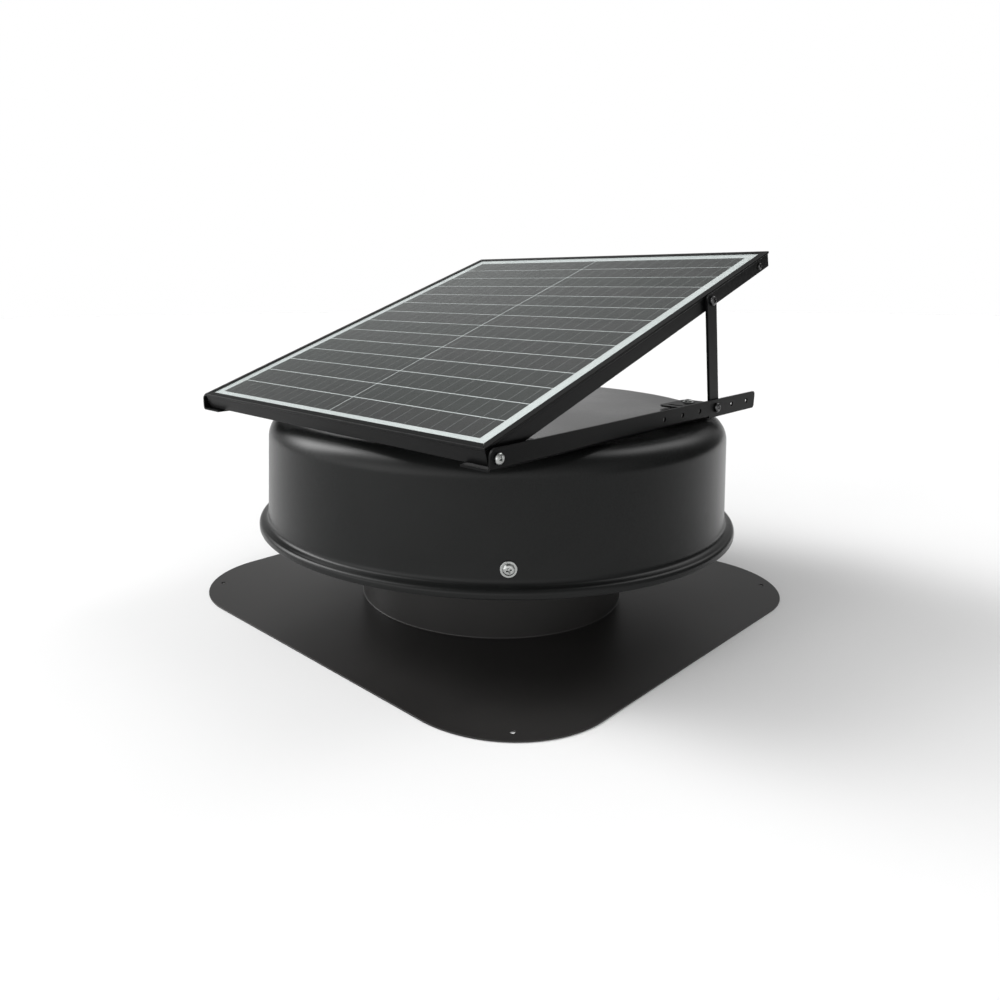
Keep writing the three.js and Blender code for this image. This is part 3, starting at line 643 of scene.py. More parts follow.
# ------------------------------------------------------------------ base flashing
S = Shape()
N = 256
c = FLASH_R
outer = fillet([(-FLASH_HALF, -FLASH_HALF), (FLASH_HALF, -FLASH_HALF), (FLASH_HALF, FLASH_HALF), (-FLASH_HALF, FLASH_HALF)], c, 40)
S.plate(outer, [circle(sx * FLASH_HOLE_AT, sy * FLASH_HOLE_AT, FLASH_HOLE_R, 28) for sx in (-1, 1) for sy in (-1, 1)],
        0, FLASH_T, bevel=0.4, segs=3, hole_mat=1, open_loops=[circle(0, 0, 175.5, N)])
R, T, F = NECK_R, FLASH_T, 1.6      # the draw radius, tight enough to show as a line
prof = [(175.5, T), (173.5, T)]
prof += [(R + F - F * sin(radians(a)), T + F - F * cos(radians(a))) for a in range(0, 91, 9)]
prof += [(R, z) for z in (12, 30, 60, 90, 115, 126)]
# rolled bead round the throat's mouth
prof += [(R + 0.25, 127.6), (R + 0.9, 128.8), (R + 1.8, 129.8), (R + 2.5, 130.9), (R + 2.6, 132.1), (R + 2.0, 133.1), (R + 0.9, 133.6), (R - 0.3, 133.3), (R - 1.1, 132.4), (R - 1.5, 131.0)]
prof += [(R - NECK_T, z) for z in (128, 115, 90, 60, 30, 12)]
prof += [(R - NECK_T + (F + NECK_T) * (1 - sin(radians(a))), (F + NECK_T) * (1 - cos(radians(a)))) for a in range(90, -1, -9)]
prof += [(173.5, 0), (175.5, 0)]
S.lathe(prof, N, closed=False)
piece("base_flashing_sheet", S, "base", "base_flashing", [M_FLASH, M_BARE], sharp=30, weighted=True)


# ------------------------------------------------------------------ hood
def hood_profile():
    out = [(0, HOOD_TOP), (60, HOOD_TOP), (150, HOOD_TOP), (225, HOOD_TOP), (243, HOOD_TOP)]
    cr, cz, q = HOOD_RTOP - HOOD_Q, HOOD_TOP - HOOD_Q, HOOD_Q
    out += [(cr + q * sin(radians(a)), cz + q * cos(radians(a))) for a in range(0, 91, 5)]
    slope = (HOOD_RLOW - HOOD_RTOP) / (cz - HOOD_ZLOW)
    for k in range(1, 8):
        z = cz - (cz - 117.5) * k / 7
        out.append((HOOD_RTOP + (cz - z) * slope, z))
    # concave run into the flange, then the rounded outer edge and its rolled hem
    out += [(281.35, 115.4), (281.9, 113.5), (282.9, 112.0), (284.3, 111.0), (286.0, 110.4), (287.4, 109.9)]
    out += [(287.3 + 5.3 * sin(radians(a)), 104.6 + 5.3 * cos(radians(a))) for a in range(8, 91, 9)]
    out += [(292.7, 103.0), (292.65, 101.7), (292.3, 100.85), (291.6, 100.4), (290.9, 100.55), (290.5, 101.1)]
    inn = [(290.6, 102.2), (290.9, 104.2)]
    inn += [(286.9 + 4.1 * sin(radians(a)), 104.5 + 4.1 * cos(radians(a))) for a in range(86, 4, -9)]
    inn += [(285.8, 109.0), (283.8, 109.7), (281.9, 110.9), (280.5, 112.7), (280.0, 115.0)]
    for k in range(7, -1, -1):
        z = cz - (cz - 117.5) * k / 7
        inn.append((HOOD_RTOP + (cz - z) * slope - HOOD_T, z))
    qi = q - HOOD_T
    inn += [(cr + qi * sin(radians(a)), cz + qi * cos(radians(a))) for a in range(85, -1, -5)]
    inn += [(243, HOOD_TOP - HOOD_T), (225, HOOD_TOP - HOOD_T), (150, HOOD_TOP - HOOD_T), (60, HOOD_TOP - HOOD_T), (0, HOOD_TOP - HOOD_T)]
    return out + inn


hood = Shape().lathe(hood_profile(), 288).mesh("hood")
drill = [(8, -70, 110)] + [(2.9, sx * EAR_X, sy * EAR_Y) for sx in (-1, 1) for sy in (-1, 1)]
cuts = Shape()
for r, x, y in drill:
    cuts.lathe([(0, 230), (r, 230), (r, 240), (0, 240)], 24, M=Matrix.Translation((x, y, 0)), closed=False)
hood = combine(hood, [("DIFFERENCE", cuts.mesh())])
piece("hood_shell", hood, "base", "hood", M_HOOD, sharp=32)

S = Shape().lathe(fillet([(3.4, 232.9), (9.9, 232.9), (9.9, 234.9), (7.6, 234.9), (7.6, 236.75), (9.9, 236.75), (9.5, 239.2), (3.4, 239.6)], 0.45, 3), 64,
                  M=Matrix.Translation((-70, 110, 0)))
piece("hood_grommet_ring", S, "base", "hood_grommet", M_RUBBER, sharp=50)


# ------------------------------------------------------------------ fasteners
def cross_recess(z, reach=2.35, wide=0.72, deep=2.1):
    """Cutter for a Phillips recess that opens at height z."""
    out = []
    for q in (0, 1):
        s = Shape()
        v = []
        for zz, k, w in ((z + 1.0, 1.10, 1.08), (z - deep, 0.42, 0.62)):
            a, b = reach * k, wide * w
            v += [(-a, -b, zz), (a, -b, zz), (a, b, zz), (-a, b, zz)]
        s.add(v, [(0, 1, 2, 3), (4, 5, 6, 7), (0, 1, 5, 4), (1, 2, 6, 5), (2, 3, 7, 6), (3, 0, 4, 7)], M=Matrix.Rotation(q * pi / 2 + 0.3, 4, "Z"))
        out.append(("DIFFERENCE", s.mesh()))
    return out


def threaded(r, z0, z1, pitch=0.8, depth=0.28):
    """Shank outline from the tip at z0 up to z1."""
    pts = [(0, z0), (r - 0.7, z0), (r - depth, z0 + 0.5)]
    z = z0 + 0.7
    while z + pitch < z1 - 0.6:
        pts += [(r - depth, z), (r, z + pitch * 0.35), (r, z + pitch * 0.5), (r - depth, z + pitch * 0.85)]
        z += pitch
    return pts + [(r - 0.02, z1 - 0.4), (r - 0.02, z1)]


def pan_screw(head_r, head_h, shank_r, length, washer=None, n=64, recess=True):
    """Pan head, Phillips, with a captive split or flat washer when washer = (radius, thickness)."""
    base = washer[1] if washer else 0.0
    prof = threaded(shank_r, -length, 0.0)
    if washer:
        wr, wt = washer
        prof += [(wr - 0.15, 0.0), (wr, 0.15), (wr, wt - 0.2), (wr - 0.2, wt), (head_r + 0.35, wt), (head_r + 0.2, wt - 0.12), (head_r - 0.15, wt - 0.12)]
    prof += [(head_r - 0.12, base), (head_r, base + 0.12), (head_r, base + head_h * 0.30)]
    qr, qz = head_r * 0.52, head_h * 0.70
    prof += [(head_r - qr + qr * cos(radians(a)), base + head_h * 0.30 + qz * sin(radians(a))) for a in range(8, 91, 8)]
    prof += [(head_r * 0.30, base + head_h), (0, base + head_h)]
    me = Shape().lathe(prof, n, closed=False).mesh("screw")
    if recess:
        k = head_r / 5.3
        me = combine(me, cross_recess(base + head_h, 2.9 * k, 0.80 * k, min(2.0, head_h * 0.72)), solver="EXACT")
        # faces inside the cross recess take the darker second material: painted shade in the recess
        for f in me.polygons:
            x, y, z = f.center
            rr = math.hypot(x, y)
            t = min(1.0, max(0.0, (rr - (head_r - qr)) / qr))
            dome = base + head_h * 0.30 + qz * math.sqrt(1 - t * t)
            f.material_index = 1 if rr < 3.4 * k and z > base + head_h * 0.15 and z < dome - 0.06 else 0
    return me


def hex_nut(af, h, bore):
    """Chamfered hexagon nut from z = 0 to h."""
    r = af / 2 / cos(pi / 6)
    body = Shape().plate([(r * cos(pi / 3 * i), r * sin(pi / 3 * i)) for i in range(6)], [], 0, h, bevel=0).mesh()
    k = 0.26 * (r - af / 2) * 2 + 0.35
    cone = Shape().lathe([(0, 0), (af / 2 - 0.05, 0), (r + 0.02, k), (r + 0.02, h - k), (af / 2 - 0.05, h), (0, h)], 72, closed=False).mesh()
    hole = Shape().lathe([(0, -1), (bore + 0.35, -1), (bore + 0.35, 0.0), (bore, 0.4), (bore, h - 0.4), (bore + 0.35, h), (bore + 0.35, h + 1), (0, h + 1)], 32, closed=False).mesh()
    return combine(body, [("INTERSECT", cone), ("DIFFERENCE", hole)], solver="EXACT")


SIDE_SCREW = pan_screw(5.8, 3.0, 2.3, 14, (8.2, 1.2))
EAR_SCREW = pan_screw(4.7, 2.8, 2.3, 16, (6.6, 1.0))
M5_BOLT = pan_screw(5.3, 3.2, 2.4, 14)
M5_STUB = pan_screw(5.3, 3.2, 2.4, 2.4)
M5_UPPER = pan_screw(5.3, 3.2, 2.4, 12.5)
M6_BOLT = pan_screw(5.2, 3.2, 2.9, 15.5)
SMALL = pan_screw(3.8, 2.0, 1.6, 9)
NUT_10, NUT_8 = hex_nut(10, 4.6, 3.15), hex_nut(8, 3.4, 2.55)


def fastener(name, me, body, node, M, mat=None):
    return piece(name, me.copy(), body, node, [mat or M_ZINC, M_RECESS_PAINTED_SHADE], sharp=32, M=M)


wall_r = HOOD_RLOW - (SIDE_SCREW_Z - HOOD_ZLOW) * (HOOD_RLOW - HOOD_RTOP) / (HOOD_TOP - HOOD_Q - HOOD_ZLOW)
for i, deg in enumerate(ARMS, 1):
    A = turn_z(deg)
    fastener(f"hood_screw_{i}_pan", SIDE_SCREW, "base", f"hood_screw_{i}", A @ along((1, 0, 0), (wall_r + GRIP, 0, SIDE_SCREW_Z)))
    fastener(f"throat_bolt_{i}_pan", M6_BOLT, "base", f"throat_bolt_{i}", A @ along((-1, 0, 0), (162.5 - 2 - GRIP, 0, THROAT_BOLT_Z)))
    fastener(f"throat_nut_{i}_hex", NUT_10, "base", f"throat_nut_{i}", A @ along((1, 0, 0), (166.2 + 2 + GRIP, 0, THROAT_BOLT_Z)))
    # support arm: a strap with two bends
    line = fillet([(167.2, 101), (167.2, 119), (276.9, 119), (276.9, 138)], [0, 3.0, 3.0, 0], 6, closed=False)
    arm = Shape().plate(strip(line, 2.0), [], -15, 15, bevel=0.35, segs=2, M=Matrix.Rotation(pi / 2, 4, "X"))
    piece(f"hood_arm_{i}_strap", arm, "base", f"hood_arm_{i}", M_INNER, sharp=50, weighted=True, M=A)
for side, w in SIDES:
    for sy, end in ((-1, "front"), (1, "rear")):
        at = (side * EAR_X, sy * EAR_Y)
        fastener(f"bracket_screw_{end}_{w}_pan", EAR_SCREW, "base", f"bracket_screw_{end}_{w}", Matrix.Translation((*at, BR_Z0 + 2 + GRIP)) @ turn_z(23 * side + 40 * sy))
        z0, z1 = HOOD_TOP + 0.3, BR_Z0 - 0.25
        S = Shape().lathe([(2.9, z0), (7.6, z0), (7.95, z0 + 0.4), (8.0, (z0 + z1) / 2), (7.95, z1 - 0.4), (7.6, z1), (2.9, z1)], 48, M=Matrix.Translation((*at, 0)))
        piece(f"bracket_seal_{end}_{w}_pad", S, "base", f"bracket_seal_{end}_{w}", M_RUBBER, sharp=50)
    ax = (side, 0, 0)
    fastener(f"hinge_bolt_{w}_pan", M5_BOLT, "base", f"hinge_bolt_{w}", along(ax, (side * (BR_X1 + GRIP), HINGE_Y, HOLE_Z)))
    fastener(f"strut_lower_bolt_{w}_pan", M5_STUB, "base", f"strut_lower_bolt_{w}", along(ax, (side * (BR_X1 + GRIP), HOLE_Y[3], HOLE_Z)), M_BOLT)
    S = Shape().lathe([(2.7, 0.2), (2.9, 0), (5.2, 0), (5.4, 0.2), (5.4, 2.9), (5.2, 3.1), (2.9, 3.1), (2.7, 2.9)], 48)
    piece(f"hinge_spacer_{w}_ring", S, "base", f"hinge_spacer_{w}", M_ZINC, M=along(ax, (side * 230.75, HINGE_Y, HOLE_Z)))
    P = PANEL_M
    fastener(f"hinge_nut_{w}_hex", NUT_8, "panel", f"hinge_nut_{w}", P @ along(ax, (side * (PAN_W / 2 - 2.4 - GRIP - 3.4), HINGE_S, -HINGE_P)))
    fastener(f"strut_upper_bolt_{w}_pan", M5_UPPER, "panel", f"strut_upper_bolt_{w}", P @ along(ax, (side * (STRUT_X1 + GRIP), PIVOT_S, -PIVOT_P)), M_BOLT)
    fastener(f"frame_screw_{w}_pan", SMALL, "panel", f"frame_screw_{w}", P @ along(ax, (side * (PAN_W / 2 - 0.9 + 0.2), PAN_L - 25, -10.6)), M_BOLT)


# ------------------------------------------------------------------ insect screen: woven wire between two bands
def screen():
    s = Shape()
    r, z0, z1, nv, nh, wire = 170.0, 121.2, 232.9, 220, 24, 0.36
    quad = [(-1, -1), (1, -1), (1, 1), (-1, 1)]
    dz = (z1 - z0) / nh
    for i in range(nv):
        a = 2 * pi * i / nv
        er, et = Vector((cos(a), sin(a), 0)), Vector((-sin(a), cos(a), 0))
        verts, faces = [], []
        for j in range(nh + 1):
            off = 0.34 * (1 if (i + j) % 2 else -1)
            p = er * (r + off) + Vector((0, 0, z0 + dz * j))
            verts += [tuple(p + er * (qa * wire) + et * (qb * wire)) for qa, qb in quad]
        for j in range(nh):
            b = 4 * j
            faces += [(b + k, b + (k + 1) % 4, b + 4 + (k + 1) % 4, b + 4 + k) for k in range(4)]
        faces += [(3, 2, 1, 0), tuple(4 * nh + k for k in range(4))]
        s.add(verts, faces)
    for j in range(1, nh):
        verts, faces = [], []
        for i in range(nv):
            a = 2 * pi * i / nv
            er = Vector((cos(a), sin(a), 0))
            off = -0.34 * (1 if (i + j) % 2 else -1)
            p = er * (r + off) + Vector((0, 0, z0 + dz * j))
            verts += [tuple(p + er * (qa * wire) + Vector((0, 0, qb * wire))) for qa, qb in quad]
        for i in range(nv):
            b, c2 = 4 * i, 4 * ((i + 1) % nv)
            faces += [(b + k, b + (k + 1) % 4, c2 + (k + 1) % 4, c2 + k) for k in range(4)]
        s.add(verts, faces)
    for lo, hi in ((120.6, 124.6), (229.5, 233.5)):
        s.lathe([(169.25, lo), (170.75, lo), (170.75, hi), (169.25, hi)], nv, mat=1)
    return s


piece("insect_screen_mesh", screen().mesh("screen", weld=0), "base", "insect_screen", [M_WIRE, M_STEEL], sharp=40)

# ------------------------------------------------------------------ motor mount: disc with three bent arms
disc = Shape().plate(circle(0, 0, 56, 96), [], 104, 106, bevel=0).mesh()
parts = []
for deg in ARMS:
    line = fillet([(20, 105), (161.5, 105), (161.5, 121)], [0, 3.0, 0], 5, closed=False)
    parts.append(("UNION", Shape().plate(strip(line, 2.0), [], -13, 13, bevel=0, M=turn_z(deg) @ Matrix.Rotation(pi / 2, 4, "X")).mesh()))
hole = Shape().lathe([(0, 100), (22, 100), (22, 110), (0, 110)], 64, closed=False)
for deg in (15, 135, 255):
    hole.lathe([(0, 100), (2.3, 100), (2.3, 110), (0, 110)], 24, closed=False, M=Matrix.Translation((34 * cos(radians(deg)), 34 * sin(radians(deg)), 0)))
for deg in (75 - 60, 195 - 60, -45 - 60):
    hole.plate(slot_loop(-6, 6, 0, 3.5), [], 100, 110, bevel=0, M=turn_z(deg) @ Matrix.Translation((46, 0, 0)) @ turn_z(90))
parts.append(("DIFFERENCE", hole.mesh()))
piece("motor_mount_spider", softened(combine(disc, parts), 0.3, 2, 45), "base", "motor_mount", M_INNER, sharp=50, weighted=True)

# ------------------------------------------------------------------ motor
prof = [(43.0, 116.3), (44.7, 116.3), (45.0, 116.6), (45.0, 119.0), (44.5, 119.5), (44.5, 120.6), (45.0, 121.1), (45.0, 161.5)]
prof += [(41.0 + 4.0 * cos(radians(a)), 162.0 + 4.0 * sin(radians(a))) for a in range(0, 91, 10)]
prof += [(30, 166.0), (17, 166.0), (14.5, 166.3), (13.4, 167.0), (13.0, 168.2), (12.4, 169.0), (5.6, 169.0), (5.2, 168.6), (5.2, 167.0), (11.4, 167.0), (11.4, 158.0), (13.6, 158.0), (13.6, 164.0), (42.2, 164.0), (43.0, 163.2)]
piece("motor_housing_can", Shape().lathe(prof, 128), "base", "motor_housing", M_MOTOR, sharp=38)
cap = Shape().lathe([(5.2, 106.7), (5.5, 106.4), (18, 106.4), (19, 107.2), (38, 107.2), (39, 106.4), (44.3, 106.4), (45.0, 107.1), (45.0, 115.6), (44.6, 116.0), (42.6, 116.0), (42.6, 119.0), (40.0, 119.0), (40.0, 109.4),
                     (14, 109.4), (14, 116.0), (11.4, 116.0), (11.4, 108.0), (5.2, 108.0)], 128).mesh()
holes = Shape()
for deg in (15, 135, 255):
    holes.lathe([(0, 103), (1.9, 103), (1.9, 112), (0, 112)], 24, closed=False, M=Matrix.Translation((34 * cos(radians(deg)), 34 * sin(radians(deg)), 0)))
piece("motor_end_cap_disc", combine(cap, [("DIFFERENCE", holes.mesh())]), "base", "motor_end_cap", M_ALU, sharp=35)
for node, zb in (("bearing_lower", 108.3), ("bearing_upper", 159.6)):
    s = Shape().lathe([(4.1, zb + 0.3), (4.4, zb), (5.6, zb), (5.9, zb + 0.5), (9.2, zb + 0.5), (9.5, zb), (10.8, zb), (11.1, zb + 0.3), (11.1, zb + 6.7), (10.8, zb + 7), (9.5, zb + 7),
                       (9.2, zb + 6.5), (5.9, zb + 6.5), (5.6, zb + 7), (4.4, zb + 7), (4.1, zb + 6.7)], 72, mat=[1 if k in (3, 11) else 0 for k in range(16)])
    piece(f"{node}_ring", s, "base", node, [M_STEEL, M_RUBBER], sharp=35)
piece("motor_shaft_bar", Shape().lathe([(0, 56), (3.3, 56), (4.0, 56.7), (4.0, 160.4), (3.4, 161), (0, 161)], 64, closed=False), "rotor", "motor_shaft", M_STEEL)
piece("motor_rotor_ring", Shape().lathe([(4.3, 124), (9.5, 124), (10, 126), (16, 126), (16.5, 124), (24.0, 124), (24.4, 124.4), (24.4, 155.6), (24.0, 156), (16.5, 156), (16, 154), (10, 154), (9.5, 156), (4.3, 156)], 96),
      "rotor", "motor_rotor", M_STEEL)
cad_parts["motor_stator"].data.materials.clear()
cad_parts["motor_stator"].data.materials.append(M_COPPER)

# ------------------------------------------------------------------ hub and blade wheel
hub = Shape().lathe([(4.3, 58.5), (4.8, 58), (12.4, 58), (13, 58.6), (13, 69.0), (14, 70), (25.3, 70), (26, 70.7), (26, 72.4), (25.5, 72.9), (4.3, 72.9)], 96).mesh()
bore = Shape().lathe([(0, 3), (1.65, 3), (1.65, 12.2), (2.1, 12.8), (2.1, 20), (0, 20)], 24, closed=False, M=along((1, 0, 0), (0, 0, 64))).mesh()
piece("fan_hub_turned", combine(hub, [("DIFFERENCE", bore)]), "rotor", "fan_hub", M_ALU, sharp=35)
grub = Shape().lathe([(0, 4.3), (0.9, 4.3), (1.5, 5.0), (1.5, 12.1), (1.3, 12.35), (0, 12.35)], 32, closed=False, M=along((1, 0, 0), (0, 0, 64))).mesh()
sock = Shape().plate([(0.8 * cos(pi / 3 * i), 0.8 * sin(pi / 3 * i)) for i in range(6)], [], 10.5, 14, bevel=0, M=along((1, 0, 0), (0, 0, 64))).mesh()
piece("hub_set_screw_grub", combine(grub, [("DIFFERENCE", sock)], solver="EXACT"), "rotor", "hub_set_screw", M_ZINC, sharp=32)


def blade(a0):
    """One pressed blade: twisted, cambered, swept, with a rounded tip."""
    tip, root, z, t = 155.9, 30.0, 74.0, 1.6
    nu, nv = 30, 14
    grid = []
    for i in range(nu + 1):
        u = i / nu
        row = []
        for j in range(nv + 1):
            v = j / nv * 2 - 1
            r = root + (tip - root) * u
            if u > 0.8:
                r -= (tip * 0.035 * v ** 4) * ((u - 0.8) / 0.2) ** 2
            half = radians(24 - 3 * u + 4 * sin(pi * u)) * (0.86 + 0.14 * min(1.0, u / 0.2) ** 2)
            sweep = radians(9 * u * u)
            pitch = math.tan(radians(36 - 15 * u))
            phi = a0 + sweep + half * v
            rr = root + (tip - root) * u
            dz = -rr * half * v * pitch * min(1, 0.25 + 1.6 * u) * 0.62 + 2.2 * (1 - v * v) * u
            row.append(Vector((r * cos(phi), r * sin(phi), z + dz)))
        grid.append(row)
    verts, faces = [], []
    norm = []
    for i in range(nu + 1):
        for j in range(nv + 1):
            du = grid[min(i + 1, nu)][j] - grid[max(i - 1, 0)][j]
            dv = grid[i][min(j + 1, nv)] - grid[i][max(j - 1, 0)]
            norm.append(du.cross(dv).normalized())
    for k in (1, -1):
        for i in range(nu + 1):
            for j in range(nv + 1):
                verts.append(tuple(grid[i][j] + norm[i * (nv + 1) + j] * (k * t / 2)))
    n = (nu + 1) * (nv + 1)
    q = lambda i, j: i * (nv + 1) + j
    for i in range(nu):
        for j in range(nv):
            faces.append((q(i, j), q(i + 1, j), q(i + 1, j + 1), q(i, j + 1)))
            faces.append((n + q(i, j), n + q(i, j + 1), n + q(i + 1, j + 1), n + q(i + 1, j)))
    rim = [q(0, j) for j in range(nv + 1)] + [q(i, nv) for i in range(1, nu + 1)] + [q(nu, j) for j in range(nv - 1, -1, -1)] + [q(i, 0) for i in range(nu - 1, 0, -1)]
    for a, b in zip(rim, rim[1:] + rim[:1]):
        faces.append((a, b, b + n, a + n))
    return Shape().add(verts, faces).mesh("blade")


wheel = Shape().lathe([(4.3, 73.2), (14, 73.2), (16, 73.2), (45.6, 73.2), (46, 73.6), (46, 74.4), (45.6, 74.8), (16, 74.8), (14, 74.8), (4.3, 74.8)], 120).mesh()
wheel = combine(wheel, [("UNION", blade(k * 2 * pi / 5)) for k in range(5)])
riv = Shape()
for deg in range(30, 390, 60):
    riv.lathe([(0, 75.9), (1.2, 75.9), (2.1, 75.4), (2.4, 74.7), (2.4, 74.0), (0, 74.0)], 20, closed=False, M=Matrix.Translation((19.5 * cos(radians(deg)), 19.5 * sin(radians(deg)), 0)))
wheel = combine(wheel, [("UNION", riv.mesh())])
piece("fan_blade_wheel_pressed", wheel, "rotor", "fan_blade_wheel", M_ALU, sharp=42)


# ------------------------------------------------------------------ tilt brackets
def bracket():
    """Pressed angle for the right side: web with adjustment holes, foot flange with a bend, two slotted ears."""
    split = 104.0
    path = fillet([(BR_FLANGE - 2, BR_Z0 + 1), (BR_X1 - 1, BR_Z0 + 1), (BR_X1 - 1, BR_Z0 + BR_H)], [0, 3.0, 0], 6, closed=False)
    to_y = Matrix(((1, 0, 0, 0), (0, 0, 1, 0), (0, 1, 0, 0), (0, 0, 0, 1)))       # (x, z, along) -> (x, along, z)
    angle = Shape().plate(strip(path, 2.0), [], BR_Y0, split, bevel=0, M=to_y).mesh()
    yz = Matrix(((0, 0, 1, 0), (1, 0, 0, 0), (0, 1, 0, 0), (0, 0, 0, 1)))           # (y, z, along) -> (along, y, z)
    side = fillet([(BR_Y0, BR_Z0 - 5), (BR_Y1, BR_Z0 - 5), (BR_Y1, BR_Z0 + BR_H), (BR_Y0, BR_Z0 + BR_H)], [0, 0, 4.2, 7.0], 8)
    web = Shape().plate(fillet([(split - 4, BR_Z0), (BR_Y1, BR_Z0), (BR_Y1, BR_Z0 + BR_H), (split - 4, BR_Z0 + BR_H)], [0, 4.2, 4.2, 0], 8), [], BR_X0, BR_X1, bevel=0, M=yz).mesh()
    allow = Shape().plate(side, [], 140, 240, bevel=0, M=yz).mesh()
    foot = fillet([(BR_FLANGE, BR_Y0 + 0.01), (BR_FLANGE, -202), (BR_EAR + 5, -202), (BR_EAR, -197), (BR_EAR, -143), (BR_EAR + 5, -138), (BR_FLANGE, -138), (BR_FLANGE, 138), (BR_EAR + 5, 138), (BR_EAR, 143),
                   (BR_EAR, 197), (BR_EAR + 5, 202), (229.4, 202), (229.4, split), (231.0, split), (231.0, BR_Y0 + 0.01)],
                  [0, 2, 3, 3, 3, 3, 2, 2, 3, 3, 3, 3, 3, 0.8, 0, 0], 4)
    foot_me = Shape().plate(foot, [], BR_Z0, BR_Z0 + 2, bevel=0).mesh()
    holes = Shape()
    for y in (HINGE_Y, *HOLE_Y):
        holes.lathe([(0, 225), (2.8, 225), (2.8, 245), (0, 245)], 28, mat=1, closed=False, M=along((1, 0, 0), (0, y, HOLE_Z)))
    for y in (-180, -150, 150, 180):
        holes.plate(slot_loop(EAR_X - 7, EAR_X + 7, y, 2.8), [], BR_Z0 - 3, BR_Z0 + 6, bevel=0, mat=1)
    me = combine(angle, [("INTERSECT", allow), ("UNION", web), ("UNION", foot_me), ("DIFFERENCE", holes.mesh())], solver="EXACT")
    return softened(me, 0.3, 2, 40)


BRACKET = bracket()
for side, w in SIDES:
    piece(f"tilt_bracket_{w}_angle", BRACKET.copy(), "base", f"tilt_bracket_{w}", [M_BRACKET, M_BARE], sharp=50, weighted=True, M=MIRROR if side < 0 else None)

# ------------------------------------------------------------------ struts
ty, tz = OY + PIVOT_S * cos(TILT) + PIVOT_P * sin(TILT), OZ + PIVOT_S * sin(TILT) - PIVOT_P * cos(TILT)
by, bz = HOLE_Y[3], HOLE_Z
length = math.hypot(by - ty, bz - tz)
ang = math.atan2(bz - tz, by - ty)
bar = fillet([(-STRUT_END, -10), (length + STRUT_END, -10), (length + STRUT_END, 10), (-STRUT_END, 10)], 7.6, 10)
d = Vector((cos(ang), sin(ang)))
STRUT_M = Matrix(((0, 0, 1, 0), (d.x, -d.y, 0, ty), (d.y, d.x, 0, tz), (0, 0, 0, 1)))
for side, w in SIDES:
    S = Shape().plate(bar, [circle(0, 0, 2.7, 28), circle(length, 0, 2.7, 28)], STRUT_X0, STRUT_X1, bevel=0.45, segs=3, hole_mat=1)
    M = STRUT_M if side > 0 else MIRROR @ STRUT_M
    piece(f"strut_{w}_bar", S, f"strut_{w}", f"strut_{w}", [M_STRUT, M_BARE], sharp=50, weighted=True, M=M)


# ------------------------------------------------------------------ panel frame
SECTION = [((0, 0), 0.55), ((7.5, 0), 0.16), ((7.5, 0.5), 0.14), ((2.4, 0.5), 0.1), ((2.4, 5.9), 0.15), ((7.5, 5.9), 0.25), ((7.5, 7.1), 0.25), ((2.4, 7.1), 0.3),
           ((2.4, 16.5), 0.5), ((20, 16.5), 0.35), ((20, 18), 0.35), ((0.9, 18), 0.5), ((0.9, 3.2), 0.25), ((0, 2.4), 0.35)]


def rail(length, gap=0.12):
    sec = fillet([p for p, _ in SECTION], [r for _, r in SECTION], 3)
    s = Shape()
    n, verts, faces = len(sec), [], []
    for end in (-1, 1):
        for b in ((0.18, 0.0), (0.0, 0.18)):
            # a narrow chamfer at the mitre, so that the joint shows as a fine line
            inner = _inset(_ccw([(u, -p) for u, p in sec]), b[0]) if b[0] else _ccw([(u, -p) for u, p in sec])
            for u, h in inner:
                verts.append((end * (length / 2 - u - gap - b[1]), u, h))
    # rows: -1 inset (0), -1 full (1), +1 inset (2), +1 full (3)
    def join(a, b):
        for i in range(n):
            j = (i + 1) % n
            faces.append((a * n + i, a * n + j, b * n + j, b * n + i))
    join(0, 1)
    join(1, 3)
    join(3, 2)
    flat = [Vector((verts[i][1], verts[i][2], 0)) for i in range(n)]
    for t in tessellate_polygon([flat]):
        faces.append(tuple(t))
        faces.append(tuple(2 * n + k for k in t[::-1]))
    s.add(verts, faces)
    return s.mesh("rail")


def at_panel(turn, x, s):
    return PANEL_M @ Matrix.Translation((x, s, 0)) @ Matrix.Rotation(turn, 4, "Z")


for node, ln, M, mat in (("frame_rail_front", PAN_W, at_panel(0, 0, 0), M_RAIL_X), ("frame_rail_rear", PAN_W, at_panel(pi, 0, PAN_L), M_RAIL_X),
                         ("frame_rail_right", PAN_L, at_panel(pi / 2, PAN_W / 2, PAN_L / 2), M_RAIL_S), ("frame_rail_left", PAN_L, at_panel(-pi / 2, -PAN_W / 2, PAN_L / 2), M_RAIL_S)):
    piece(f"{node}_profile", rail(ln), "panel", node, mat, sharp=50, weighted=True, M=M)

# ------------------------------------------------------------------ glass, cells, backsheet
hx = PAN_W / 2 - 2.8
# without refraction, the cells show as deep as real glass makes them look, so the sheet is drawn thin and the cells sit high
S = Shape().plate(rect(-hx, hx, 2.8, PAN_L - 2.8, 1.0, 4), [], -1.05, -0.55, bevel=0.15, segs=2)
S.m = [1 if all(S.v[i][2] < -0.85 for i in f) else 0 for f in S.f]      # the bonded underside doesn't reflect
piece("panel_glass_sheet", S, "panel", "panel_glass", [M_GLASS, M_GLASS_BACK], sharp=50, weighted=True, M=PANEL_M)

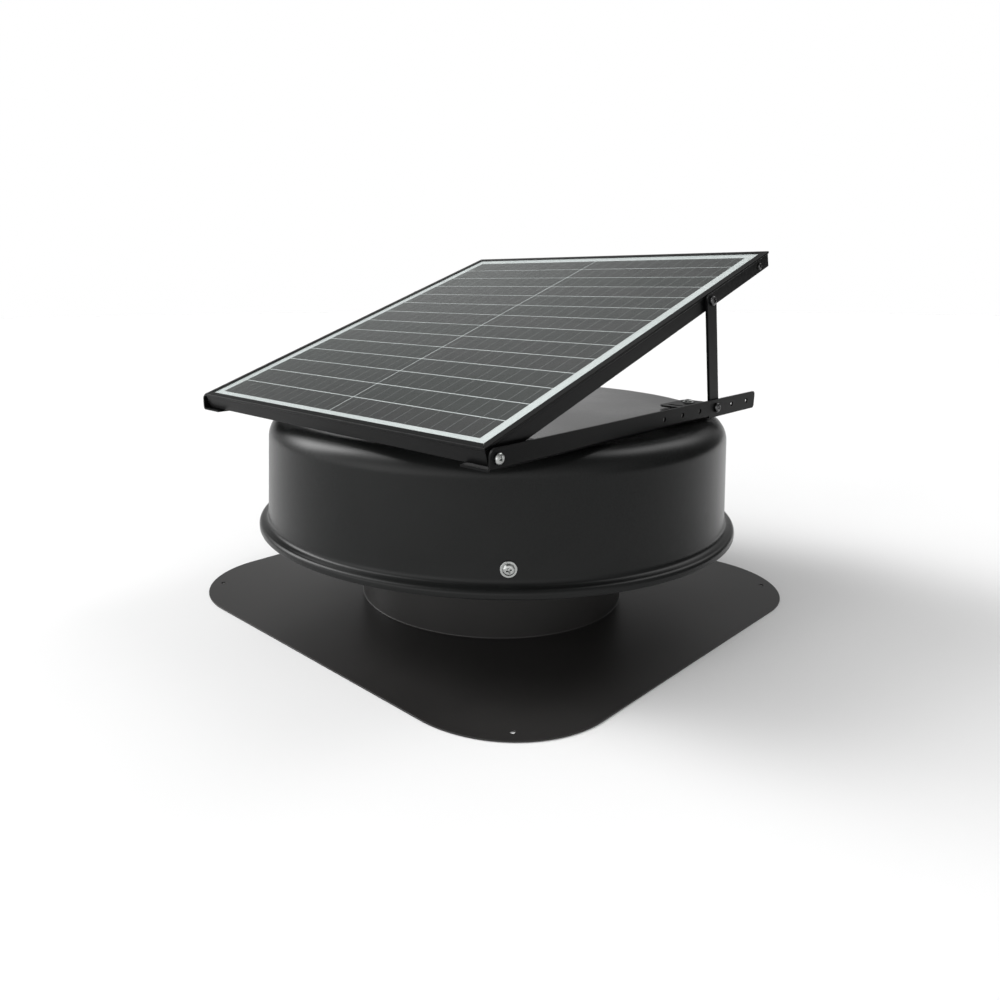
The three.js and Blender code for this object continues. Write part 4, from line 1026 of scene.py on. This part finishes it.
S = Shape().plate(rect(-hx, hx, 2.8, PAN_L - 2.8, 1.0, 4), [], -5.6, -1.45, bevel=0.1, segs=1)
piece("cell_laminate_backsheet", S, "panel", "cell_laminate", M_BACK, sharp=50, weighted=True, M=PANEL_M)
cells, ribbons = Shape(), Shape()
for cx in (CELL_X0, -CELL_X0 - CELL_W):
    for k in range(14):
        s0 = CELL_S0 + k * (CELL_H + CELL_GAP)
        jog = 0.12 * sin(12.9898 * (k + 1) + 3.1 * cx)
        cells.plate(rect(cx + jog, cx + CELL_W + jog, s0, s0 + CELL_H, 0.35, 2), [], -1.42, -1.26, bevel=0.03, segs=1)
        for b in range(12):
            x = cx + jog + 9.5 + b * (CELL_W - 19.0) / 11
            half = 0.30
            ribbons.plate([(x - half, s0 + 0.7), (x + half, s0 + 0.7), (x + half, s0 + CELL_H - 0.7), (x - half, s0 + CELL_H - 0.7)], [], -1.25, -1.14, bevel=0.02, segs=1)
piece("cell_strips", cells, "panel", "cell_laminate", M_CELL, sharp=30, M=PANEL_M)
piece("cell_busbars", ribbons, "panel", "cell_laminate", M_RIBBON, sharp=30, M=PANEL_M)

# ------------------------------------------------------------------ junction box
s0, s1 = 415.0, 470.0
box = Shape().plate(rect(-45, 45, s0, s1, 5, 8), [], -16.5, -6.0, bevel=0.6, segs=3).mesh()
cav = Shape().plate(rect(-42.5, 42.5, s0 + 2.5, s1 - 2.5, 3, 6), [], -20, -8.5, bevel=0).mesh()
gl = Shape().lathe([(0, -8), (4.4, -8), (4.4, 8), (0, 8)], 32, closed=False, M=along((0, 1, 0), (0, s0, -12.2))).mesh()
piece("junction_box_shell", combine(box, [("DIFFERENCE", cav), ("DIFFERENCE", gl)], solver="EXACT"), "panel", "junction_box", M_PLASTIC, sharp=50, weighted=True, M=PANEL_M)
lid = Shape().plate(rect(-45, 45, s0, s1, 5, 8), [], -18.8, -16.8, bevel=0.6, segs=3).mesh()
grooves = Shape()
for x in (-30, -20, -10, 0, 10, 20, 30):
    grooves.plate(slot_loop(-17, 17, 0, 1.1), [], -19.5, -18.3, bevel=0, M=Matrix.Translation((x, (s0 + s1) / 2, 0)) @ turn_z(90))
piece("junction_box_lid_cover", combine(lid, [("DIFFERENCE", grooves.mesh())], solver="EXACT"), "panel", "junction_box_lid", M_PLASTIC, sharp=50, weighted=True, M=PANEL_M)
G = along((0, -1, 0), (0, s0, -12.2))
tube = Shape().lathe([(0, -3.2), (3.9, -3.2), (4.1, -3.0), (4.1, 4.1), (0, 4.1)], 48, closed=False).mesh()
hexa = Shape().plate([(6.2 * cos(pi / 3 * i), 6.2 * sin(pi / 3 * i)) for i in range(6)], [], 0.35, 4.3, bevel=0.35, segs=2).mesh()
dome = Shape().lathe([(0, 4.0), (5.3, 4.0), (5.4, 4.2), (5.4, 7.6), (5.2, 8.6), (4.7, 10.2), (4.2, 11.6), (3.9, 12.0), (0, 12.0)], 48, closed=False).mesh()
bore = Shape().lathe([(0, -10), (2.6, -10), (2.6, 11.4), (3.0, 12.0), (3.0, 20), (0, 20)], 32, closed=False).mesh()
piece("cable_gland_nut", combine(tube, [("UNION", hexa), ("UNION", dome), ("DIFFERENCE", bore)]), "panel", "cable_gland", M_PLASTIC, sharp=35, M=PANEL_M @ G)

# ------------------------------------------------------------------ stage: floor and light
n = Nodes("floor_pale")
v = n.coords()
n.set(color=n.mix(n.noise(v, 3.0, 2.0), (0.79, 0.79, 0.79), (0.81, 0.81, 0.81)), rough=n.span(n.noise(v, 8.0, 2.0), 0.3, 0.7, 0.75, 0.9))
me = Shape().plate(circle(0, 0, 9000, 96), [], -22, -2.0, bevel=0).mesh()
me.transform(Matrix.Scale(0.001, 4))
me.materials.append(n.mat)
floor = obj_of(me, "floor")
floor.location.z = 0.002 - 0.0004

LOBES = [
    (0, 6, 22, 2.0), (30, 6, 22, 1.5), (60, 6, 22, 0.31), (150, 6, 22, 0.60),
    (180, 6, 22, 1.62), (210, 6, 22, 0.62), (240, 6, 22, 0.62), (270, 6, 22, 2.3),
    (300, 6, 22, 4.3), (330, 6, 22, 3.2), (0, 30, 22, 0.57), (30, 30, 22, 0.6),
    (60, 30, 22, 0.48), (90, 30, 22, 0.15), (120, 30, 22, 0.22), (270, 30, 22, 0.64),
    (300, 30, 22, 0.83), (330, 30, 22, 0.6), (90, 55, 22, 0.08), (120, 55, 22, 0.38),
    (180, 55, 22, 1.02), (210, 55, 22, 0.07), (238, 30, 60, 7.0), (254, 42, 60, 18.0),
    (286, 52, 60, 7.0), (0, 80, 5, 0.35), (112, 52, 60, 5.0), (126, 36, 60, 3.0),
    (248, 25, 60, 10.0),
]
BACKDROP = 1.0     # what the camera sees past the floor


def studio_world():
    """Soft studio surround: broad glows, each (azimuth from the camera, elevation, tightness, strength); the camera itself sees a plain backdrop."""
    world = bpy.data.worlds.new("studio")
    world.use_nodes = True
    nt = world.node_tree
    nt.nodes.clear()

    def math_node(op, a, b=None, c=None):
        m = nt.nodes.new("ShaderNodeMath")
        m.operation = op
        for i, v in enumerate((a, b, c)):
            if v is None:
                continue
            if isinstance(v, (int, float)):
                m.inputs[i].default_value = v
            else:
                nt.links.new(v, m.inputs[i])
        return m.outputs[0]

    ray = nt.nodes.new("ShaderNodeTexCoord").outputs["Generated"]
    total = None
    for i, (az, el, tight, strength) in enumerate(LOBES):
        a, e = AZ + radians(az), radians(el)
        dot = nt.nodes.new("ShaderNodeVectorMath")
        dot.operation = "DOT_PRODUCT"
        nt.links.new(ray, dot.inputs[0])
        dot.inputs[1].default_value = (sin(a) * cos(e), -cos(a) * cos(e), sin(e))
        glow = math_node("EXPONENT", math_node("MULTIPLY_ADD", dot.outputs["Value"], float(tight), -float(tight)))
        part = nt.nodes.new("ShaderNodeMath")
        part.operation, part.name = "MULTIPLY", f"lobe_{i}"
        nt.links.new(glow, part.inputs[0])
        part.inputs[1].default_value = strength
        total = part.outputs[0] if total is None else math_node("ADD", total, part.outputs[0])
    studio = nt.nodes.new("ShaderNodeBackground")
    nt.links.new(total, studio.inputs["Strength"])
    plain = nt.nodes.new("ShaderNodeBackground")
    plain.inputs["Color"].default_value = (1, 1, 1, 1)
    plain.inputs["Strength"].default_value = BACKDROP
    path = nt.nodes.new("ShaderNodeLightPath")
    mix = nt.nodes.new("ShaderNodeMixShader")
    out = nt.nodes.new("ShaderNodeOutputWorld")
    nt.links.new(path.outputs["Is Camera Ray"], mix.inputs[0])
    nt.links.new(studio.outputs[0], mix.inputs[1])
    nt.links.new(plain.outputs[0], mix.inputs[2])
    nt.links.new(mix.outputs[0], out.inputs["Surface"])
    scene.world = world


studio_world()


scene.view_settings.view_transform = "Standard"
scene.view_settings.look = "None"
